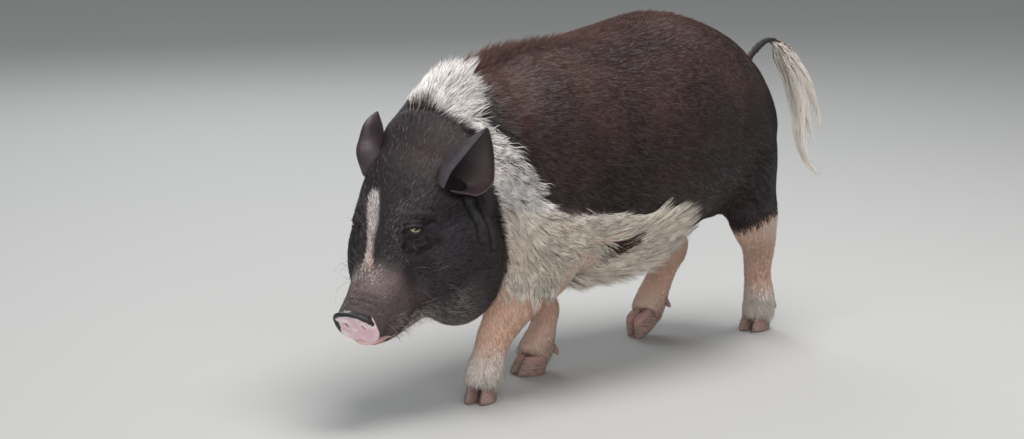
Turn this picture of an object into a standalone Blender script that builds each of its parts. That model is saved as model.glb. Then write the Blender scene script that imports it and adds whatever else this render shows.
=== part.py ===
# A pot-bellied pig, life size, standing in mid-walk with its head low.
# f is forward (-Y), x is to the pig's left (+X) and z is up, all in metres.
# The flesh is blocked out from lofts and ellipsoids, fused, smoothed and thinned,
# then parted into torso, neck, head and legs by thin cuts.
import math
import random

import bpy
import bmesh
import numpy as np
from mathutils import Matrix, Vector
from mathutils.bvhtree import BVHTree

# Driving sizes
bodyCentre = (0.0325, 0.0)  # f and x of the middle of the whole animal's box
gap = 0.0003  # between nodes that touch
fleshVoxel = 0.0075
fleshTriangles = 4500
smoothRounds = 16

# Trunk: f, top, level of the widest place, bottom, half width
trunkRows = {
    "tailEnd": (-0.356, 0.370, 0.325, 0.285, 0.018),
    "buttock": (-0.347, 0.410, 0.320, 0.245, 0.040),
    "rump": (-0.327, 0.434, 0.315, 0.220, 0.064),
    "croup": (-0.290, 0.455, 0.315, 0.203, 0.092),
    "hip": (-0.220, 0.496, 0.318, 0.197, 0.129),
    "loin": (-0.110, 0.527, 0.312, 0.190, 0.158),
    "flank": (-0.020, 0.518, 0.300, 0.160, 0.172),
    "belly": (0.080, 0.504, 0.292, 0.140, 0.170),
    "girth": (0.165, 0.500, 0.300, 0.147, 0.158),
    "shoulder": (0.240, 0.494, 0.318, 0.165, 0.146),
    "breast": (0.310, 0.468, 0.330, 0.190, 0.122),
    "chest": (0.345, 0.430, 0.330, 0.225, 0.090),
    "chestEnd": (0.362, 0.370, 0.330, 0.290, 0.040),
}
trunkSquareness = 2.25

# Neck: f, x, z of the centre, half height up, half height down, half width
neckRows = {
    "root": (0.200, 0.000, 0.350, 0.135, 0.150, 0.135),
    "middle": (0.285, 0.001, 0.343, 0.136, 0.140, 0.128),
    "collar": (0.345, 0.006, 0.325, 0.122, 0.122, 0.116),
    "nape": (0.395, 0.014, 0.298, 0.103, 0.095, 0.095),
}

# Head: its axis runs from inside the neck to the nose disc
headRoot = (0.345, 0.000, 0.330)
noseCentre = (0.580, 0.047, 0.140)
# Skull: distance along the axis, top, bottom, half width, level of the widest place
skullRows = {
    "nape": (-0.020, 0.085, -0.080, 0.070, 0.000),
    "poll": (0.025, 0.103, -0.095, 0.084, 0.008),
    "brow": (0.080, 0.104, -0.095, 0.084, 0.018),
    "forehead": (0.135, 0.088, -0.088, 0.073, 0.020),
    "eyes": (0.175, 0.066, -0.078, 0.061, 0.008),
    "bridge": (0.212, 0.044, -0.066, 0.050, -0.006),
    "muzzle": (0.250, 0.032, -0.053, 0.041, -0.010),
    "snout": (0.288, 0.027, -0.036, 0.036, -0.004),
    "noseEnd": (0.306, 0.025, -0.029, 0.033, -0.002),
}
# Balls on the head, a pair each: place (along, side, up) and half sizes in the same order
headLumps = {
    "jowl": ((0.110, 0.052, -0.054), (0.100, 0.058, 0.096)),
    "jowlCorner": ((0.078, 0.062, -0.076), (0.064, 0.044, 0.060)),
    "cheek": ((0.165, 0.036, -0.028), (0.066, 0.036, 0.050)),
    "browRidge": ((0.142, 0.038, 0.060), (0.036, 0.022, 0.014)),
    "lip": ((0.245, 0.026, -0.030), (0.045, 0.020, 0.020)),
}
# Lower jaw, in the same terms as the skull
chinRows = {
    "throat": (0.080, -0.050, -0.130, 0.062, -0.085),
    "jaw": (0.150, -0.045, -0.116, 0.052, -0.080),
    "chin": (0.220, -0.040, -0.080, 0.037, -0.060),
    "lipEnd": (0.272, -0.034, -0.052, 0.023, -0.044),
    "lipTip": (0.284, -0.036, -0.046, 0.012, -0.041),
}

# Legs: f, x, z of the centre, half width, half depth, from the body down
legRows = {
    "foreleg_left": {
        "shoulder": (0.225, 0.076, 0.320, 0.046, 0.075),
        "upperArm": (0.240, 0.106, 0.250, 0.048, 0.078),
        "elbow": (0.262, 0.104, 0.192, 0.040, 0.053),
        "forearm": (0.294, 0.086, 0.146, 0.031, 0.037),
        "wrist": (0.318, 0.070, 0.104, 0.026, 0.029),
        "cannon": (0.325, 0.061, 0.070, 0.024, 0.026),
        "fetlock": (0.329, 0.056, 0.044, 0.028, 0.029),
        "foot": (0.336, 0.054, 0.022, 0.025, 0.027),
    },
    "foreleg_right": {
        "shoulder": (0.200, -0.076, 0.320, 0.046, 0.075),
        "upperArm": (0.190, -0.104, 0.250, 0.045, 0.073),
        "elbow": (0.160, -0.094, 0.188, 0.037, 0.048),
        "forearm": (0.122, -0.060, 0.140, 0.028, 0.033),
        "wrist": (0.103, -0.037, 0.100, 0.024, 0.026),
        "cannon": (0.112, -0.028, 0.068, 0.020, 0.022),
        "fetlock": (0.132, -0.022, 0.042, 0.024, 0.026),
        "foot": (0.152, -0.018, 0.022, 0.023, 0.026),
    },
    "hindleg_left": {
        "hip": (-0.215, 0.060, 0.350, 0.040, 0.060),
        "thigh": (-0.216, 0.088, 0.290, 0.048, 0.080),
        "stifle": (-0.231, 0.092, 0.238, 0.041, 0.058),
        "gaskin": (-0.254, 0.086, 0.190, 0.032, 0.045),
        "hock": (-0.284, 0.070, 0.150, 0.025, 0.032),
        "cannon": (-0.307, 0.050, 0.098, 0.021, 0.024),
        "fetlock": (-0.325, 0.040, 0.050, 0.025, 0.027),
        "foot": (-0.326, 0.037, 0.022, 0.024, 0.026),
    },
    "hindleg_right": {
        "hip": (-0.205, -0.060, 0.350, 0.040, 0.060),
        "thigh": (-0.190, -0.088, 0.285, 0.048, 0.088),
        "stifle": (-0.196, -0.100, 0.222, 0.043, 0.078),
        "gaskin": (-0.232, -0.094, 0.180, 0.033, 0.048),
        "hock": (-0.256, -0.084, 0.140, 0.025, 0.032),
        "cannon": (-0.220, -0.075, 0.094, 0.021, 0.024),
        "fetlock": (-0.184, -0.068, 0.054, 0.025, 0.027),
        "foot": (-0.166, -0.064, 0.034, 0.023, 0.025),
    },
}
legMargin = 0.018  # how far a leg's own block of space stands out from its form
legSlant = 1.35  # the block's level sections are longer, as they cross a slanting leg

tailRows = {  # f, z, radius
    "root": (-0.335, 0.428, 0.013),
    "lift": (-0.362, 0.449, 0.0085),
    "bend": (-0.392, 0.458, 0.0070),
    "droop": (-0.414, 0.450, 0.0062),
    "tip": (-0.426, 0.425, 0.0055),
}

tuftRows = {  # f, x, z of the line that the tail's long hair follows
    "start": (-0.392, 0.000, 0.456),
    "bend": (-0.419, 0.000, 0.443),
    "knee": (-0.441, 0.000, 0.422),
    "full": (-0.466, 0.001, 0.388),
    "low": (-0.490, 0.002, 0.343),
    "thin": (-0.509, 0.003, 0.300),
    "wisp": (-0.521, 0.004, 0.260),
    "tip": (-0.530, 0.004, 0.222),
}
tuftStations = (0.0, 0.18, 0.42, 0.70, 1.0)  # shares of a wisp's length
tuftLocks = 13
tuftSpread = 0.017  # how far the wisps stand from that line where they stand widest
tuftWidth = 0.014

# Long hair as flat tapered locks. Each is set on the skin where a ray at an angle from
# straight up, turned to the pig's left, leaves the middle of the body at a distance f.
lockAxisLevel = 0.320
lockStations = (0.0, 0.20, 0.46, 0.76, 1.0)  # shares of a lock's length
lockWidths = (0.35, 1.00, 0.88, 0.52, 0.0)
lockThickness = 0.0028
lockSunk = 0.006  # how deep a root goes into the skin
# Angle: the f of the first and last root, how many between them, the lie (back, down),
# how far the tip stands off for each length, length and width
collarRows = {
    4: (0.392, 0.330, 3, 1.0, -0.30, 0.34, 0.056, 0.017),
    13: (0.386, 0.345, 2, 1.0, 0.00, 0.22, 0.066, 0.019),
    23: (0.384, 0.350, 2, 1.0, 0.15, 0.16, 0.072, 0.020),
    33: (0.378, 0.350, 2, 1.0, 0.30, 0.12, 0.074, 0.020),
    43: (0.374, 0.344, 2, 1.0, 0.42, 0.10, 0.076, 0.021),
    53: (0.368, 0.334, 2, 1.0, 0.52, 0.09, 0.078, 0.022),
    63: (0.366, 0.326, 2, 1.0, 0.60, 0.09, 0.080, 0.022),
    74: (0.364, 0.318, 2, 1.0, 0.70, 0.09, 0.080, 0.022),
    85: (0.358, 0.308, 2, 1.0, 0.85, 0.09, 0.080, 0.022),
    97: (0.348, 0.300, 2, 0.9, 1.00, 0.09, 0.076, 0.022),
}
bellyRows = {
    111: (0.235, 0.020, 5, 1.0, 0.42, 0.05, 0.096, 0.023),
    124: (0.205, 0.010, 5, 1.0, 0.50, 0.07, 0.096, 0.024),
    138: (0.225, 0.040, 5, 1.0, 0.45, 0.10, 0.092, 0.024),
    153: (0.215, 0.050, 4, 1.0, 0.35, 0.15, 0.086, 0.024),
    169: (0.225, 0.060, 4, 1.0, 0.20, 0.18, 0.080, 0.024),
}
maneRows = {
    4: (0.300, 0.020, 8, 1.0, 0.0, 0.16, 0.050, 0.014),
    14: (0.285, 0.060, 6, 1.0, 0.1, 0.10, 0.050, 0.015),
}
lockLifts = (0.0, 0.005, 0.010, 0.015)  # tried in turn till a lock is clear of other nodes

# Cuts across the body: a point (f, z) on each and the way (f, z) that it faces
neckCut = ((0.268, 0.350), (1.0, -0.03))
headCut = ((0.362, 0.310), (0.945, -0.325))

# Eyes, ears, mouth and nose, on the head's own axes (along, side, up)
eyePlace = (0.161, 0.049, 0.057)  # on the skin, as eyeProud sets the eye's depth
eyeProud = -0.0005  # how far the eyeball would stand out of the bare skin
eyeLook = (0.25, 0.72, 0.55)
eyeRadius = 0.0115
lidThickness = 0.0022
eyeSlit = (0.0080, 0.0040)  # half width and half height of the opening
earRoot = (0.070, 0.078, 0.053)
earAxes = {"left": (-0.526, 0.520, 0.672), "right": (-0.774, 0.109, 0.594)}
earAcross = (-0.371, 0.620, -0.690)
earTurn = {"left": 0.0, "right": -22.0}  # degrees about the ear's own line
earLength, earThickness = 0.090, 0.0045
earRows = {  # share of the length: width, depth of the cup
    "root": (-0.24, 0.064, 0.024),
    "base": (0.00, 0.082, 0.028),
    "low": (0.22, 0.080, 0.023),
    "middle": (0.48, 0.062, 0.015),
    "high": (0.74, 0.036, 0.007),
    "nearTip": (0.90, 0.016, 0.002),
    "tip": (1.00, 0.004, 0.000),
}
noseRoll = math.radians(-4)
noseRows = {  # along the head's axis from the nose's centre: size against noseHalf
    "back": (-0.014, 0.94),
    "neck": (-0.006, 0.97),
    "rim": (-0.001, 1.08),
    "edge": (0.002, 1.06),
    "face": (0.0035, 0.97),
    "dish": (0.0025, 0.80),
}
noseHalf = (0.0335, 0.0235)
nostril = (0.0130, 0.0005, 0.0050, 0.0070, 0.008)  # side, up, half width, half height, depth
mouthPath = {
    "front": (0.300, 0.000, -0.036),
    "lip": (0.285, 0.022, -0.036),
    "side": (0.255, 0.042, -0.040),
    "corner": (0.222, 0.056, -0.034),
}
mouthWidth = 0.0045

# Feet: f, x of the claws' middle, way that they point outward, pitch down on the toe
footRows = {
    "foreleg_left": (0.342, 0.057, 22, 0),
    "foreleg_right": (0.164, -0.017, 0, 0),
    "hindleg_left": (-0.315, 0.036, 8, 0),
    "hindleg_right": (-0.1625, -0.062, 4, 42),
}
clawHalf = (0.0190, 0.0098)  # half length and half width of one claw at the sole
clawHeight = 0.024
toeFlat = 0.003  # how much of a lifted foot's toe is worn flat on the floor
clawSpread = 0.0104  # from the foot's middle to a claw's middle
dewclaw = (0.0065, 0.018)  # radius and length
dewclawPlace = (0.011, 0.014)  # from the fetlock's middle: to the side and back


def at(f, x, z):
    """A point of the pig as a world vector."""
    return Vector((x - bodyCentre[1], bodyCentre[0] - f, z))


def smoothRows(rows, steps):
    """A smooth curve through the rows of a table, read at even steps."""
    table = np.array(list(rows.values()), float)
    ends = np.vstack([2 * table[0] - table[1], table, 2 * table[-1] - table[-2]])
    found = []
    for t in np.linspace(0, len(table) - 1, steps):
        i = min(int(t), len(table) - 2)
        u = t - i
        a, b, c, d = ends[i : i + 4]
        found.append(
            0.5 * (2 * b + (c - a) * u + (2 * a - 5 * b + 4 * c - d) * u**2 + (3 * b - a - 3 * c + d) * u**3)
        )
    return np.array(found)


def ring(centre, side, up, halfWidth, rise, drop, squareness=2.0, corners=28):
    """A closed section: wide by halfWidth, rise above its centre and drop below it."""
    points = []
    for k in range(corners):
        angle = 2 * math.pi * k / corners
        c, s = math.cos(angle), math.sin(angle)
        across = math.copysign(abs(c) ** (2 / squareness), c) * halfWidth
        along = math.copysign(abs(s) ** (2 / squareness), s) * (rise if s > 0 else drop)
        points.append(centre + side * across + up * along)
    return points


def loft(bm, rings):
    """A closed skin over a row of sections."""
    loops = [[bm.verts.new(p) for p in points] for points in rings]
    corners = len(loops[0])
    for a, b in zip(loops, loops[1:]):
        for k in range(corners):
            bm.faces.new((a[k], a[(k + 1) % corners], b[(k + 1) % corners], b[k]))
    bm.faces.new(loops[0][::-1])
    bm.faces.new(loops[-1])


def meshOf(name, build):
    """A mesh object from a function that fills a bmesh."""
    bm = bmesh.new()
    build(bm)
    bm.normal_update()
    bmesh.ops.recalc_face_normals(bm, faces=bm.faces)
    mesh = bpy.data.meshes.new(name)
    bm.to_mesh(mesh)
    bm.free()
    obj = bpy.data.objects.new(name, mesh)
    bpy.context.scene.collection.objects.link(obj)
    return obj


def headFrame():
    """The head's axes: along to the nose, side to the pig's left, up through the brow."""
    origin = at(*headRoot)
    along = (at(*noseCentre) - origin).normalized()
    side = Vector((0, 0, 1)).cross(along).normalized()
    if side.x < 0:
        side.negate()
    up = along.cross(side).normalized()
    if up.z < 0:
        up.negate()
    return origin, along, side, up


headOrigin, headAlong, headSide, headUp = headFrame()


def onHead(along, side, up):
    return headOrigin + headAlong * along + headSide * side + headUp * up


def ellipsoid(bm, centre, axes, sizes, segments=16):
    """A ball stretched along three axes."""
    made = bmesh.ops.create_uvsphere(bm, u_segments=segments, v_segments=segments // 2, radius=1)
    stretch = Matrix([axis * size for axis, size in zip(axes, sizes)]).transposed()
    if stretch.determinant() < 0:
        stretch.col[0].negate()
    for v in made["verts"]:
        v.co = centre + stretch @ v.co


def trunk(bm):
    rings = []
    for f, top, level, bottom, half in smoothRows(trunkRows, 44):
        rings.append(
            ring(at(f, 0, level), Vector((1, 0, 0)), Vector((0, 0, 1)), max(half, 0.01),
                 max(top - level, 0.01), max(level - bottom, 0.01), trunkSquareness)
        )
    loft(bm, rings)


def neck(bm):
    rows = smoothRows(neckRows, 16)
    places = [at(*row[:3]) for row in rows]
    rings = []
    for i, row in enumerate(rows):
        lead = (places[min(i + 1, 15)] - places[max(i - 1, 0)]).normalized()
        side = Vector((1, 0, 0))
        side = (side - lead * side.dot(lead)).normalized()
        up = side.cross(lead)
        if up.z < 0:
            up.negate()
        rings.append(ring(places[i], side, up, row[5], row[3], row[4]))
    loft(bm, rings)


def headTube(bm, rows, squareness):
    rings = []
    for along, top, bottom, half, level in smoothRows(rows, 26):
        rings.append(
            ring(onHead(along, 0, level), headSide, headUp, half, top - level, level - bottom, squareness)
        )
    loft(bm, rings)


def skull(bm):
    headTube(bm, skullRows, 2.2)


def chin(bm):
    headTube(bm, chinRows, 2.0)


def lumps(bm):
    for place, sizes in headLumps.values():
        for hand in (1, -1):
            centre = onHead(place[0], hand * place[1], place[2])
            ellipsoid(bm, centre, (headAlong, headSide, headUp), sizes)


def leg(bm, rows):
    table = smoothRows(rows, 30)
    places = [at(*row[:3]) for row in table]
    last = len(places) - 1
    rings = []
    for i, row in enumerate(table):
        lead = (places[min(i + 1, last)] - places[max(i - 1, 0)]).normalized()
        side = Vector((1, 0, 0))
        side = (side - lead * side.dot(lead)).normalized()
        fore = lead.cross(side)
        rings.append(ring(places[i], side, fore, row[3], row[4], row[4]))
    loft(bm, rings)


def joined(name, builders):
    """One object that holds every blocked-out form, still overlapping."""
    def build(bm):
        for builder in builders:
            builder(bm)
    return meshOf(name, build)


def evaluated(obj, name):
    """A plain mesh object from one with modifiers, which it replaces."""
    graph = bpy.context.evaluated_depsgraph_get()
    mesh = bpy.data.meshes.new_from_object(obj.evaluated_get(graph))
    made = bpy.data.objects.new(name, mesh)
    made.matrix_world = obj.matrix_world.copy()
    bpy.context.scene.collection.objects.link(made)
    bpy.data.objects.remove(obj)
    return made


def relax(mesh, rounds, inward=0.55, outward=-0.57):
    """Smooths a mesh without shrinking it."""
    count = len(mesh.vertices)
    place = np.empty(count * 3)
    mesh.vertices.foreach_get("co", place)
    place = place.reshape(-1, 3)
    ends = np.empty(len(mesh.edges) * 2, int)
    mesh.edges.foreach_get("vertices", ends)
    ends = ends.reshape(-1, 2)
    share = np.bincount(ends.ravel(), minlength=count)[:, None]
    for _ in range(rounds):
        for weight in (inward, outward):
            total = np.zeros_like(place)
            np.add.at(total, ends[:, 0], place[ends[:, 1]])
            np.add.at(total, ends[:, 1], place[ends[:, 0]])
            place += weight * (total / share - place)
    mesh.vertices.foreach_set("co", place.ravel())
    mesh.update()


def fusedFlesh():
    """The whole animal as one closed surface."""
    legs = [lambda bm, rows=rows: leg(bm, rows) for rows in legRows.values()]
    block = joined("flesh", [trunk, neck, skull, chin, lumps, *legs])
    remesh = block.modifiers.new("fuse", "REMESH")
    remesh.mode = "VOXEL"
    remesh.voxel_size = fleshVoxel
    whole = evaluated(block, "flesh")
    relax(whole.data, smoothRounds)
    thin = whole.modifiers.new("thin", "DECIMATE")
    whole.data.calc_loop_triangles()
    thin.ratio = fleshTriangles / len(whole.data.loop_triangles)
    return evaluated(whole, "flesh")


def fresh(obj, name):
    """A copy of an object's own mesh as a new object."""
    made = bpy.data.objects.new(name, obj.data.copy())
    bpy.context.scene.collection.objects.link(made)
    return made


def grown(obj, distance, name):
    """A copy whose skin stands out by a distance."""
    made = fresh(obj, name)
    made.data.update()
    for v, normal in zip(made.data.vertices, [n.vector.copy() for n in made.data.vertex_normals]):
        v.co += normal * distance
    return made


def combined(obj, other, operation, solver="EXACT"):
    """The result of one Boolean with another object, which is used up."""
    name = obj.name
    cut = obj.modifiers.new("cut", "BOOLEAN")
    cut.operation = operation
    cut.solver = solver
    cut.object = other
    made = evaluated(obj, name)
    bpy.data.objects.remove(other)
    return made


def islands(mesh):
    """The loose parts of a mesh, each a set of vertex numbers, the largest first."""
    owner = list(range(len(mesh.vertices)))

    def top(i):
        while owner[i] != i:
            owner[i] = owner[owner[i]]
            i = owner[i]
        return i

    for edge in mesh.edges:
        owner[top(edge.vertices[0])] = top(edge.vertices[1])
    groups = {}
    for i in range(len(owner)):
        groups.setdefault(top(i), set()).add(i)
    return sorted(groups.values(), key=len, reverse=True)


def keepIsland(obj, island):
    """Drops all of an object's mesh but one loose part, and welds its slivers."""
    bm = bmesh.new()
    bm.from_mesh(obj.data)
    bm.verts.ensure_lookup_table()
    bmesh.ops.delete(bm, geom=[v for v in bm.verts if v.index not in island], context="VERTS")
    bmesh.ops.remove_doubles(bm, verts=bm.verts, dist=0.00004)
    bmesh.ops.dissolve_degenerate(bm, edges=bm.edges, dist=0.00002)
    bmesh.ops.triangulate(bm, faces=bm.faces)
    bm.to_mesh(obj.data)
    bm.free()
    return obj


def clearedBy(obj, block):
    """Cuts an object back to the gap from a block, which is used up."""
    wider = grown(block, gap, "wider")
    bpy.data.objects.remove(block)
    return combined(obj, wider, "DIFFERENCE", "MANIFOLD")


def largestOnly(obj):
    return keepIsland(obj, islands(obj.data)[0])


def legSpace(name):
    """The block of space that a leg's node takes out of the flesh, in level sections."""
    def build(bm):
        rings = []
        for f, x, z, half, deep in list(legRows[name].values())[1:]:
            wide, long = half + legMargin, deep * legSlant + legMargin
            rings.append(ring(at(f, x, z), Vector((1, 0, 0)), Vector((0, 1, 0)), wide, long, long, 2, 14))
        rings.append([point - Vector((0, 0, 0.06)) for point in rings[-1]])
        loft(bm, rings)
        bmesh.ops.triangulate(bm, faces=bm.faces)
    return meshOf(name + "Space", build)


def slab(place, facing):
    """A plate as thin as the gap, across the body."""
    def build(bm):
        bmesh.ops.create_cube(bm, size=1)
        for v in bm.verts:
            v.co = (v.co.x * 0.5, v.co.y * gap, v.co.z * 0.6)
    made = meshOf("slab", build)
    tilt = math.atan2(facing[1], facing[0])
    made.data.transform(Matrix.Rotation(-tilt, 4, "X"))
    made.data.transform(Matrix.Translation(at(place[0], 0, place[1])))
    return made


def partedFlesh(whole):
    """Torso, neck, head and legs, from the whole by cutting."""
    nodes = {}
    for name in legRows:
        nodes[name] = combined(fresh(whole, name), legSpace(name), "INTERSECT", "MANIFOLD")
        largestOnly(nodes[name])
    for name in legRows:
        whole = clearedBy(whole, legSpace(name))
    for place, facing in (neckCut, headCut):
        whole = combined(whole, slab(place, facing), "DIFFERENCE")
    found = islands(whole.data)[:3]
    found.sort(key=lambda island: max(whole.data.vertices[i].co.y for i in island), reverse=True)
    for name, island in zip(("torso", "neck", "head"), found):
        nodes[name] = keepIsland(fresh(whole, name), island)
    bpy.data.objects.remove(whole)
    return nodes


def headVector(along, side, up):
    return (headAlong * along + headSide * side + headUp * up).normalized()


def clearOf(obj, neighbour):
    """Cuts an object back to the gap from a neighbour that it is rooted in."""
    return largestOnly(combined(obj, grown(neighbour, gap, "neighbour"), "DIFFERENCE"))


def eyeAxes(hand):
    """Where an eye looks, and the two ways across it."""
    look = headVector(eyeLook[0], hand * eyeLook[1], eyeLook[2])
    upward = (headUp - look * headUp.dot(look)).normalized()
    return look, upward.cross(look), upward


def eyeCentre(hand, head):
    """The eyeball's middle, sunk from the skin where the eye looks out of it."""
    look = eyeAxes(hand)[0]
    start = onHead(eyePlace[0], hand * eyePlace[1], eyePlace[2]) + look * 0.05
    skin = head.ray_cast(start, -look)[1]
    return skin - look * (eyeRadius - eyeProud)


def eyeball(hand, centre, radius, name):
    look, across, upward = eyeAxes(hand)
    return meshOf(name, lambda bm: ellipsoid(bm, centre, (across, upward, look), (radius,) * 3, 14))


def lidsCut(head, centres):
    """Bulging lids round each eye, the socket behind them and the slit between them."""
    for hand, centre in centres.items():
        look, across, upward = eyeAxes(hand)
        head = combined(head, eyeball(hand, centre, eyeRadius + lidThickness, "lids"), "UNION")
        head = combined(head, eyeball(hand, centre, eyeRadius + gap, "socket"), "DIFFERENCE")
        slit = centre + look * (eyeRadius + 0.003)
        sizes = (eyeSlit[0], eyeSlit[1], 0.008)
        opening = meshOf("slit", lambda bm: ellipsoid(bm, slit, (across, upward, look), sizes, 12))
        head = combined(head, opening, "DIFFERENCE")
    return head


def tube(name, points, radius, sides=8):
    """A closed round tube through points."""
    def build(bm):
        last = len(points) - 1
        rings = []
        side = None
        for i, point in enumerate(points):
            lead = (points[min(i + 1, last)] - points[max(i - 1, 0)]).normalized()
            side = side or lead.orthogonal().normalized()
            side = (side - lead * side.dot(lead)).normalized()
            size = radius[i] if isinstance(radius, (list, tuple)) else radius
            rings.append(ring(point, side, lead.cross(side), size, size, size, 2.0, sides))
        loft(bm, rings)
    return meshOf(name, build)


def mouthCut(head):
    """The line of the mouth, a groove that runs round the muzzle from corner to corner."""
    half = smoothRows(mouthPath, 9)
    line = [(a, -s, u) for a, s, u in half[:0:-1]] + [tuple(row) for row in half]
    path = [head.closest_point_on_mesh(onHead(*point))[1] for point in line]
    return combined(head, tube("mouth", path, mouthWidth / 2, 6), "DIFFERENCE")


def snout():
    """The flat nose disc with its raised rim and two nostrils."""
    turn = Matrix.Rotation(noseRoll, 3, headAlong)
    side, up = turn @ headSide, turn @ headUp
    centre = at(*noseCentre)

    def build(bm):
        rings = []
        for along, size in smoothRows(noseRows, 8):
            place = centre + headAlong * along
            wide, tall = noseHalf[0] * size, noseHalf[1] * size
            rings.append(ring(place, side, up, wide, tall, tall, 2.6, 20))
        loft(bm, rings)

    disc = meshOf("snout", build)
    for hand in (1, -1):
        place = centre + side * (hand * nostril[0]) + up * nostril[1] + headAlong * 0.003
        sizes = (nostril[2], nostril[3], nostril[4])
        hole = meshOf("nostril", lambda bm: ellipsoid(bm, place, (side, up, headAlong), sizes, 10))
        disc = combined(disc, hole, "DIFFERENCE")
    return disc


def ear(hand, name):
    """One erect ear, a thin shell cupped forward and outward."""
    along, outward, upward = earAxes[name.split("_")[1]]
    axis = headVector(along, hand * outward, upward)
    across = headVector(earAcross[0], hand * earAcross[1], earAcross[2])
    across = (across - axis * across.dot(axis)).normalized()
    across = Matrix.Rotation(math.radians(earTurn[name.split("_")[1]]), 3, axis) @ across
    facing = across.cross(axis) * hand
    root = onHead(earRoot[0], hand * earRoot[1], earRoot[2])
    if facing.dot(headAlong) < 0:
        facing.negate()

    def build(bm):
        loops = []
        for share, width, depth in smoothRows(earRows, 11):
            middle = root + axis * (share * earLength)
            loops.append([
                bm.verts.new(middle + across * (v * width / 2) - facing * (depth * (1 - v * v)))
                for v in np.linspace(-1, 1, 8)
            ])
        for a, b in zip(loops, loops[1:]):
            for k in range(len(a) - 1):
                bm.faces.new((a[k], a[k + 1], b[k + 1], b[k]))

    sheet = meshOf(name, build)
    shell = sheet.modifiers.new("shell", "SOLIDIFY")
    shell.thickness = earThickness
    shell.offset = 0
    return evaluated(sheet, name)


def tail():
    """The thin bent root of the tail."""
    rows = smoothRows(tailRows, 10)
    return tube("tail", [at(f, 0, z) for f, z, _ in rows], [float(row[2]) for row in rows], 8)


def footAxes(name):
    f, x, outward, pitch = footRows[name]
    hand = 1 if name.endswith("left") else -1
    turn = math.radians(outward) * hand
    ahead = Vector((math.sin(turn), -math.cos(turn), 0))
    return at(f, x, 0), ahead, Vector((math.cos(turn), math.sin(turn), 0)), math.radians(pitch)


def claw(name, foot, hand):
    """One main claw, a blunt wedge with a flat sole."""
    middle, ahead, side, pitch = footAxes(foot)
    turn = Matrix.Rotation(pitch, 3, side)

    def build(bm):
        rings = []
        for rise, shrink, back in ((-0.004, 1.0, 0.0), (0.0, 1.0, 0.0), (0.4, 0.93, 0.10),
                                   (0.8, 0.82, 0.24), (1.1, 0.62, 0.34)):
            centre = middle + side * (hand * clawSpread) - ahead * (back * clawHalf[0])
            centre += Vector((0, 0, rise * clawHeight if rise > 0 else rise))
            rings.append(ring(centre, side, ahead, clawHalf[1] * shrink, clawHalf[0] * shrink,
                              clawHalf[0] * shrink, 2.3, 12))
        loft(bm, rings)
        if pitch:
            toe = middle + ahead * clawHalf[0]
            for v in bm.verts:
                v.co = toe + turn @ (v.co - toe) - Vector((0, 0, toeFlat))

    return meshOf(name, build)


def floorBlock():
    def build(bm):
        bmesh.ops.create_cube(bm, size=1)
        for v in bm.verts:
            v.co = (v.co.x * 2, v.co.y * 2, v.co.z * 0.1 - 0.05)
    return meshOf("floor", build)


def dewclawOf(name, foot, hand):
    """One of the two small claws behind the fetlock."""
    ahead, side, pitch = footAxes(foot)[1:]
    fetlock = at(*list(legRows[foot].values())[-2][:3])
    top = fetlock + side * (hand * dewclawPlace[0]) - ahead * dewclawPlace[1]
    if pitch:
        top.z += 0.006
    tip = top - ahead * 0.014 + side * (hand * 0.004) - Vector((0, 0, dewclaw[1]))
    points = [top.lerp(tip, t) for t in (0.0, 0.3, 0.6, 0.85, 1.0)]
    sizes = [dewclaw[0] * t for t in (1.0, 1.0, 0.85, 0.6, 0.25)]
    return tube(name, points, sizes, 7)


def hooves(nodes):
    """Two claws and two dewclaws for every foot, cut clear of its leg."""
    made = {}
    for foot in footRows:
        for hand, place in ((1, "left"), (-1, "right")):
            name = f"claw_{foot}_{place}"
            piece = combined(claw(name, foot, hand), floorBlock(), "DIFFERENCE")
            made[name] = clearOf(piece, nodes[foot])
            name = f"dewclaw_{foot}_{place}"
            made[name] = clearOf(dewclawOf(name, foot, hand), nodes[foot])
    return made


def lockMesh(name, points, normals, width, thickness):
    """One flat tapered lock through points, its underside towards the skin."""
    def build(bm):
        loops = []
        for i, (point, normal) in enumerate(zip(points[:-1], normals)):
            lead = (points[i + 1] - points[max(i - 1, 0)]).normalized()
            across = lead.cross(normal).normalized() * (width * lockWidths[i] / 2)
            ridge = across.cross(lead).normalized() * thickness
            loops.append([bm.verts.new(p) for p in (point + across, point + ridge, point - across)])
        tip = bm.verts.new(points[-1])
        bm.faces.new(loops[0][::-1])
        for a, b in zip(loops, loops[1:]):
            for k in range(3):
                bm.faces.new((a[k], a[(k + 1) % 3], b[(k + 1) % 3], b[k]))
        for k in range(3):
            bm.faces.new((loops[-1][k], loops[-1][(k + 1) % 3], tip))
        bmesh.ops.triangulate(bm, faces=bm.faces)
    return meshOf(name, build)


def lockRecipes(skin, rows, draw):
    """Root, normal, lie, stand-off, length and width of each lock in rows, on both sides."""
    recipes = []
    for degrees, (front, rear, count, back, down, out, length, width) in rows.items():
        for hand in (1, -1):
            for i in range(count):
                share = (i + draw.uniform(-0.15, 0.15) + 0.25 * (hand < 0)) / (count - 1)
                angle = math.radians(degrees + draw.uniform(-2, 2)) * hand
                way = Vector((math.sin(angle), 0, math.cos(angle)))
                start = at(front + (rear - front) * share, 0, lockAxisLevel)
                root, normal = skin.ray_cast(start, way)[:2]
                lie = Vector((draw.uniform(-0.15, 0.15), back, draw.uniform(-0.12, 0.12) - down))
                size = length * draw.uniform(0.85, 1.12)
                recipes.append((root, normal, lie, out, size, width * draw.uniform(0.9, 1.1)))
    return recipes


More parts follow.
